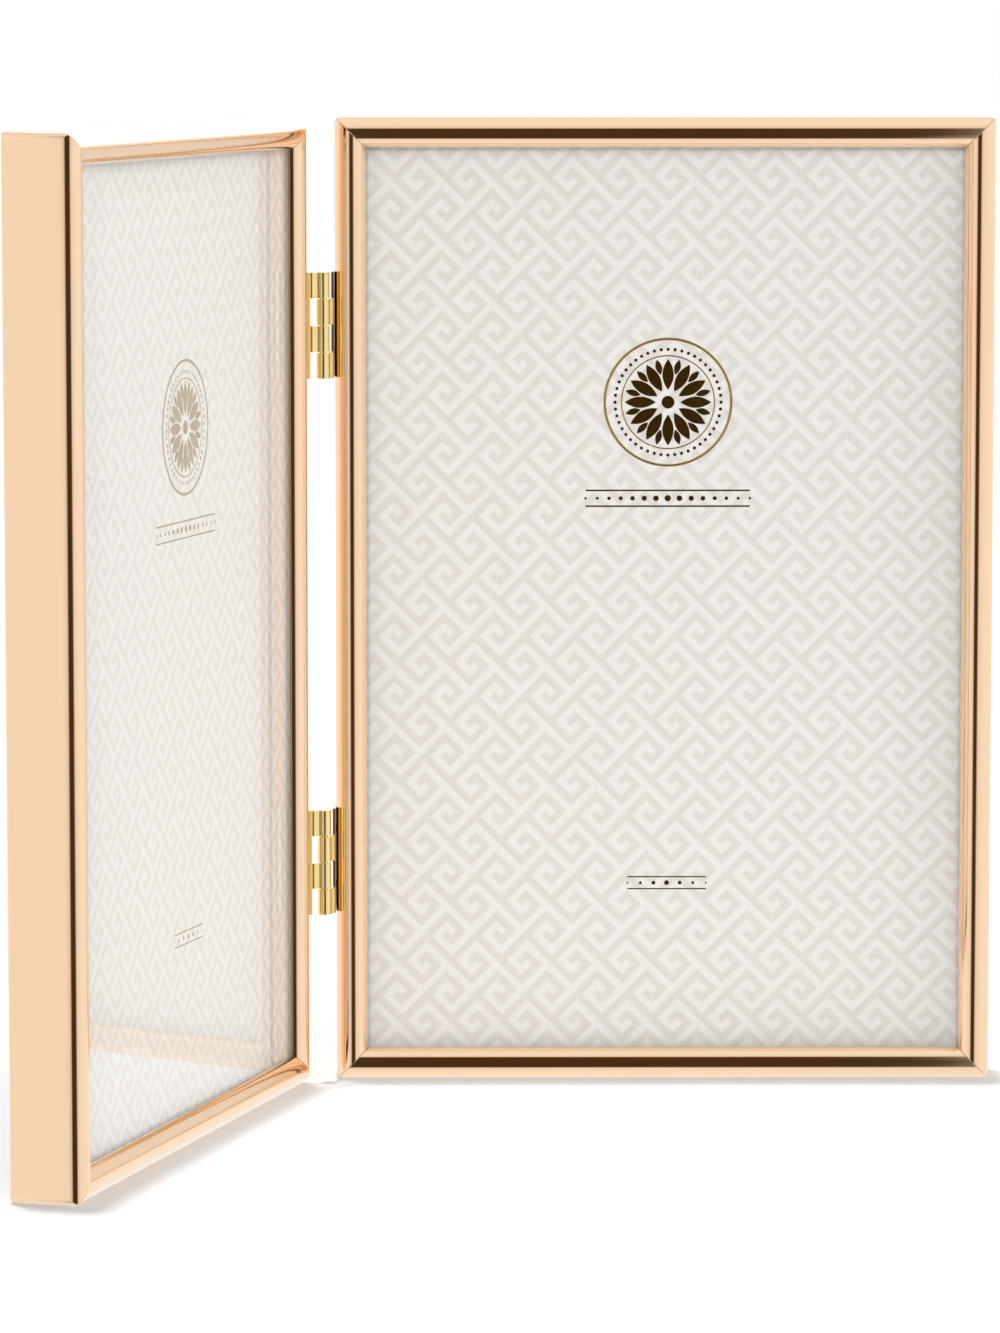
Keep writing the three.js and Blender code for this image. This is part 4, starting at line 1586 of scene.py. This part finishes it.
class AddStage(bpy.types.Operator):
    """Set the camera, the white surround, the floor and the lamps"""

    bl_idname = "photo_frame.add_stage"
    bl_label = "Stage"

    def execute(self, context):
        settings = context.scene.photo_frame_stage
        context.scene.view_settings.view_transform = "Standard"
        self.add_camera(context.scene, settings)
        self.add_surround(context.scene, settings.fill)
        self.add_floor(settings.glow)
        self.add_opening()
        for name in LAMPS:
            self.add_lamp(name, getattr(settings, name))
        self.add_softbox()
        return {"FINISHED"}

    def add_camera(self, scene, settings):
        """A long lens a little above the frame."""
        data = bpy.data.cameras.new("Camera")
        data.lens = settings.lens
        camera = new_object("Camera", data)
        camera.location = settings.camera_place
        camera.rotation_euler = (QUARTER - settings.camera_pitch, 0, -settings.camera_yaw)
        scene.camera = camera

    def add_surround(self, scene, fill):
        """A white surround, weaker on matt surfaces."""
        world = bpy.data.worlds.new("Surround")
        scene.world = world
        world.use_nodes = True
        tree = world.node_tree
        tree.nodes.clear()
        strength = ranged(tree, seen_rays(tree), fill, 1.0)
        shine = result(tree, "ShaderNodeBackground", {"Color": WHITE, "Strength": strength})
        add_node(tree, "ShaderNodeOutputWorld", {"Surface": shine})

    def add_floor(self, glow):
        """A pale floor that keeps a soft shadow."""
        material, tree = new_material("Pale floor")
        matt = result(tree, "ShaderNodeBsdfDiffuse", {"Color": FLOOR_GREY})
        strength = calculate(tree, "MULTIPLY", seen_rays(tree), glow)
        light = result(tree, "ShaderNodeEmission", {"Color": WHITE, "Strength": strength})
        end_material(tree, result(tree, "ShaderNodeAddShader", {0: matt, 1: light}))
        bm = bmesh.new()
        bmesh.ops.create_circle(bm, cap_ends=True, segments=FLOOR_SIDES, radius=FLOOR_RADIUS)
        floor = new_object("Floor", mesh_from(bm, "floor"))
        floor.location.z = CAD_BOX[0].z - FLOOR_DROP
        finish(floor.data, material)
        hide_from(floor, "glossy", "transmission")

    def add_opening(self):
        """The dim opening of the white tent, soft at its edges, which only bright metal and glass show."""
        material, tree = new_material("Dim opening")
        outwards = calculate_vector(tree, "ABSOLUTE", result(tree, "ShaderNodeTexCoord", output="Object"))
        past_core = calculate_vector(tree, "SUBTRACT", outwards, OPENING_CORE)
        outside = calculate_vector(tree, "MAXIMUM", past_core, (0, 0, 0))
        distance = calculate_vector(tree, "LENGTH", outside, output="Value")
        near, far = (
            calculate(tree, "EXPONENT", calculate(tree, "DIVIDE", distance, -fade))
            for fade in (OPENING_NEAR_FADE, OPENING_FAR_FADE)
        )
        mask = ranged(tree, OPENING_FAR_SHARE, near, far)
        dim = result(tree, "ShaderNodeEmission", {"Color": OPENING_COLOUR, "Strength": 1.0})
        clear = result(tree, "ShaderNodeBsdfTransparent")
        end_material(tree, result(tree, "ShaderNodeMixShader", {0: mask, 1: clear, 2: dim}))
        corners = [
            (OPENING_HALF_WIDTH * x, 0, OPENING_HALF_HEIGHT * z)
            for x, z in ((-1, -1), (1, -1), (1, 1), (-1, 1))
        ]
        opening = new_object("Opening", flat_mesh("opening", corners))
        opening.location = OPENING_PLACE
        finish(opening.data, material)
        hide_from(opening, "camera", "diffuse", "volume_scatter", "shadow")

    def add_lamp(self, name, share):
        """A soft sun that leaves no spot in the metal."""
        direction, width = LAMPS[name]
        lamp = bpy.data.lights.new(name.title(), "SUN")
        lamp.energy = share * math.pi
        lamp.angle = width
        obj = new_object(lamp.name, lamp)
        point_along(obj, direction)
        hide_from(obj, "glossy", "transmission")

    def add_softbox(self):
        """A large lamp behind the frame with a flat white face, which metal shows."""
        lamp = bpy.data.lights.new("Rear", "AREA")
        lamp.shape = "RECTANGLE"
        lamp.size, lamp.size_y = SOFTBOX_SIZE
        lamp.energy = SOFTBOX_RADIANCE * math.pi * lamp.size * lamp.size_y
        obj = new_object(lamp.name, lamp)
        obj.location = SOFTBOX_PLACE
        point_along(obj, Vector(SOFTBOX_TARGET) - Vector(SOFTBOX_PLACE))
        hide_from(obj, "camera", "transmission")


# Add-on

SETTINGS = {
    "photo_frame_moulding": MouldingSettings,
    "photo_frame_hinges": HingeSettings,
    "photo_frame_back": BackSettings,
    "photo_frame_inserts": InsertSettings,
    "photo_frame_stage": StageSettings,
}
OPERATORS = (
    AddStage,
    AddMoulding,
    AddHingeLeaves,
    AddHingePins,
    AddHingeRivets,
    AddClipRivets,
    AddTurnClips,
    AddVelvet,
    DressLayers,
    DressInserts,
    AddFoil,
)


class PhotoFramePanel(bpy.types.Panel):
    """The frame's settings and pieces in the sidebar"""

    bl_idname = "VIEW3D_PT_photo_frame"
    bl_label = "Hinged Double Photo Frame"
    bl_space_type = "VIEW_3D"
    bl_region_type = "UI"
    bl_category = "Photo Frame"

    def draw(self, context):
        for name, group in SETTINGS.items():
            box = self.layout.box()
            for prop in group.__annotations__:
                box.prop(getattr(context.scene, name), prop)
        for operator in OPERATORS:
            self.layout.operator(operator.bl_idname)


CLASSES = (*SETTINGS.values(), *OPERATORS, PhotoFramePanel)


def register():
    for each in CLASSES:
        bpy.utils.register_class(each)
    for name, group in SETTINGS.items():
        setattr(bpy.types.Scene, name, PointerProperty(type=group))


def unregister():
    for name in SETTINGS:
        delattr(bpy.types.Scene, name)
    for each in reversed(CLASSES):
        bpy.utils.unregister_class(each)


def main():
    """Makes every piece in order."""
    register()
    for operator in OPERATORS:
        space, name = operator.bl_idname.split(".")
        getattr(getattr(bpy.ops, space), name)()


if __name__ == "__main__":
    main()
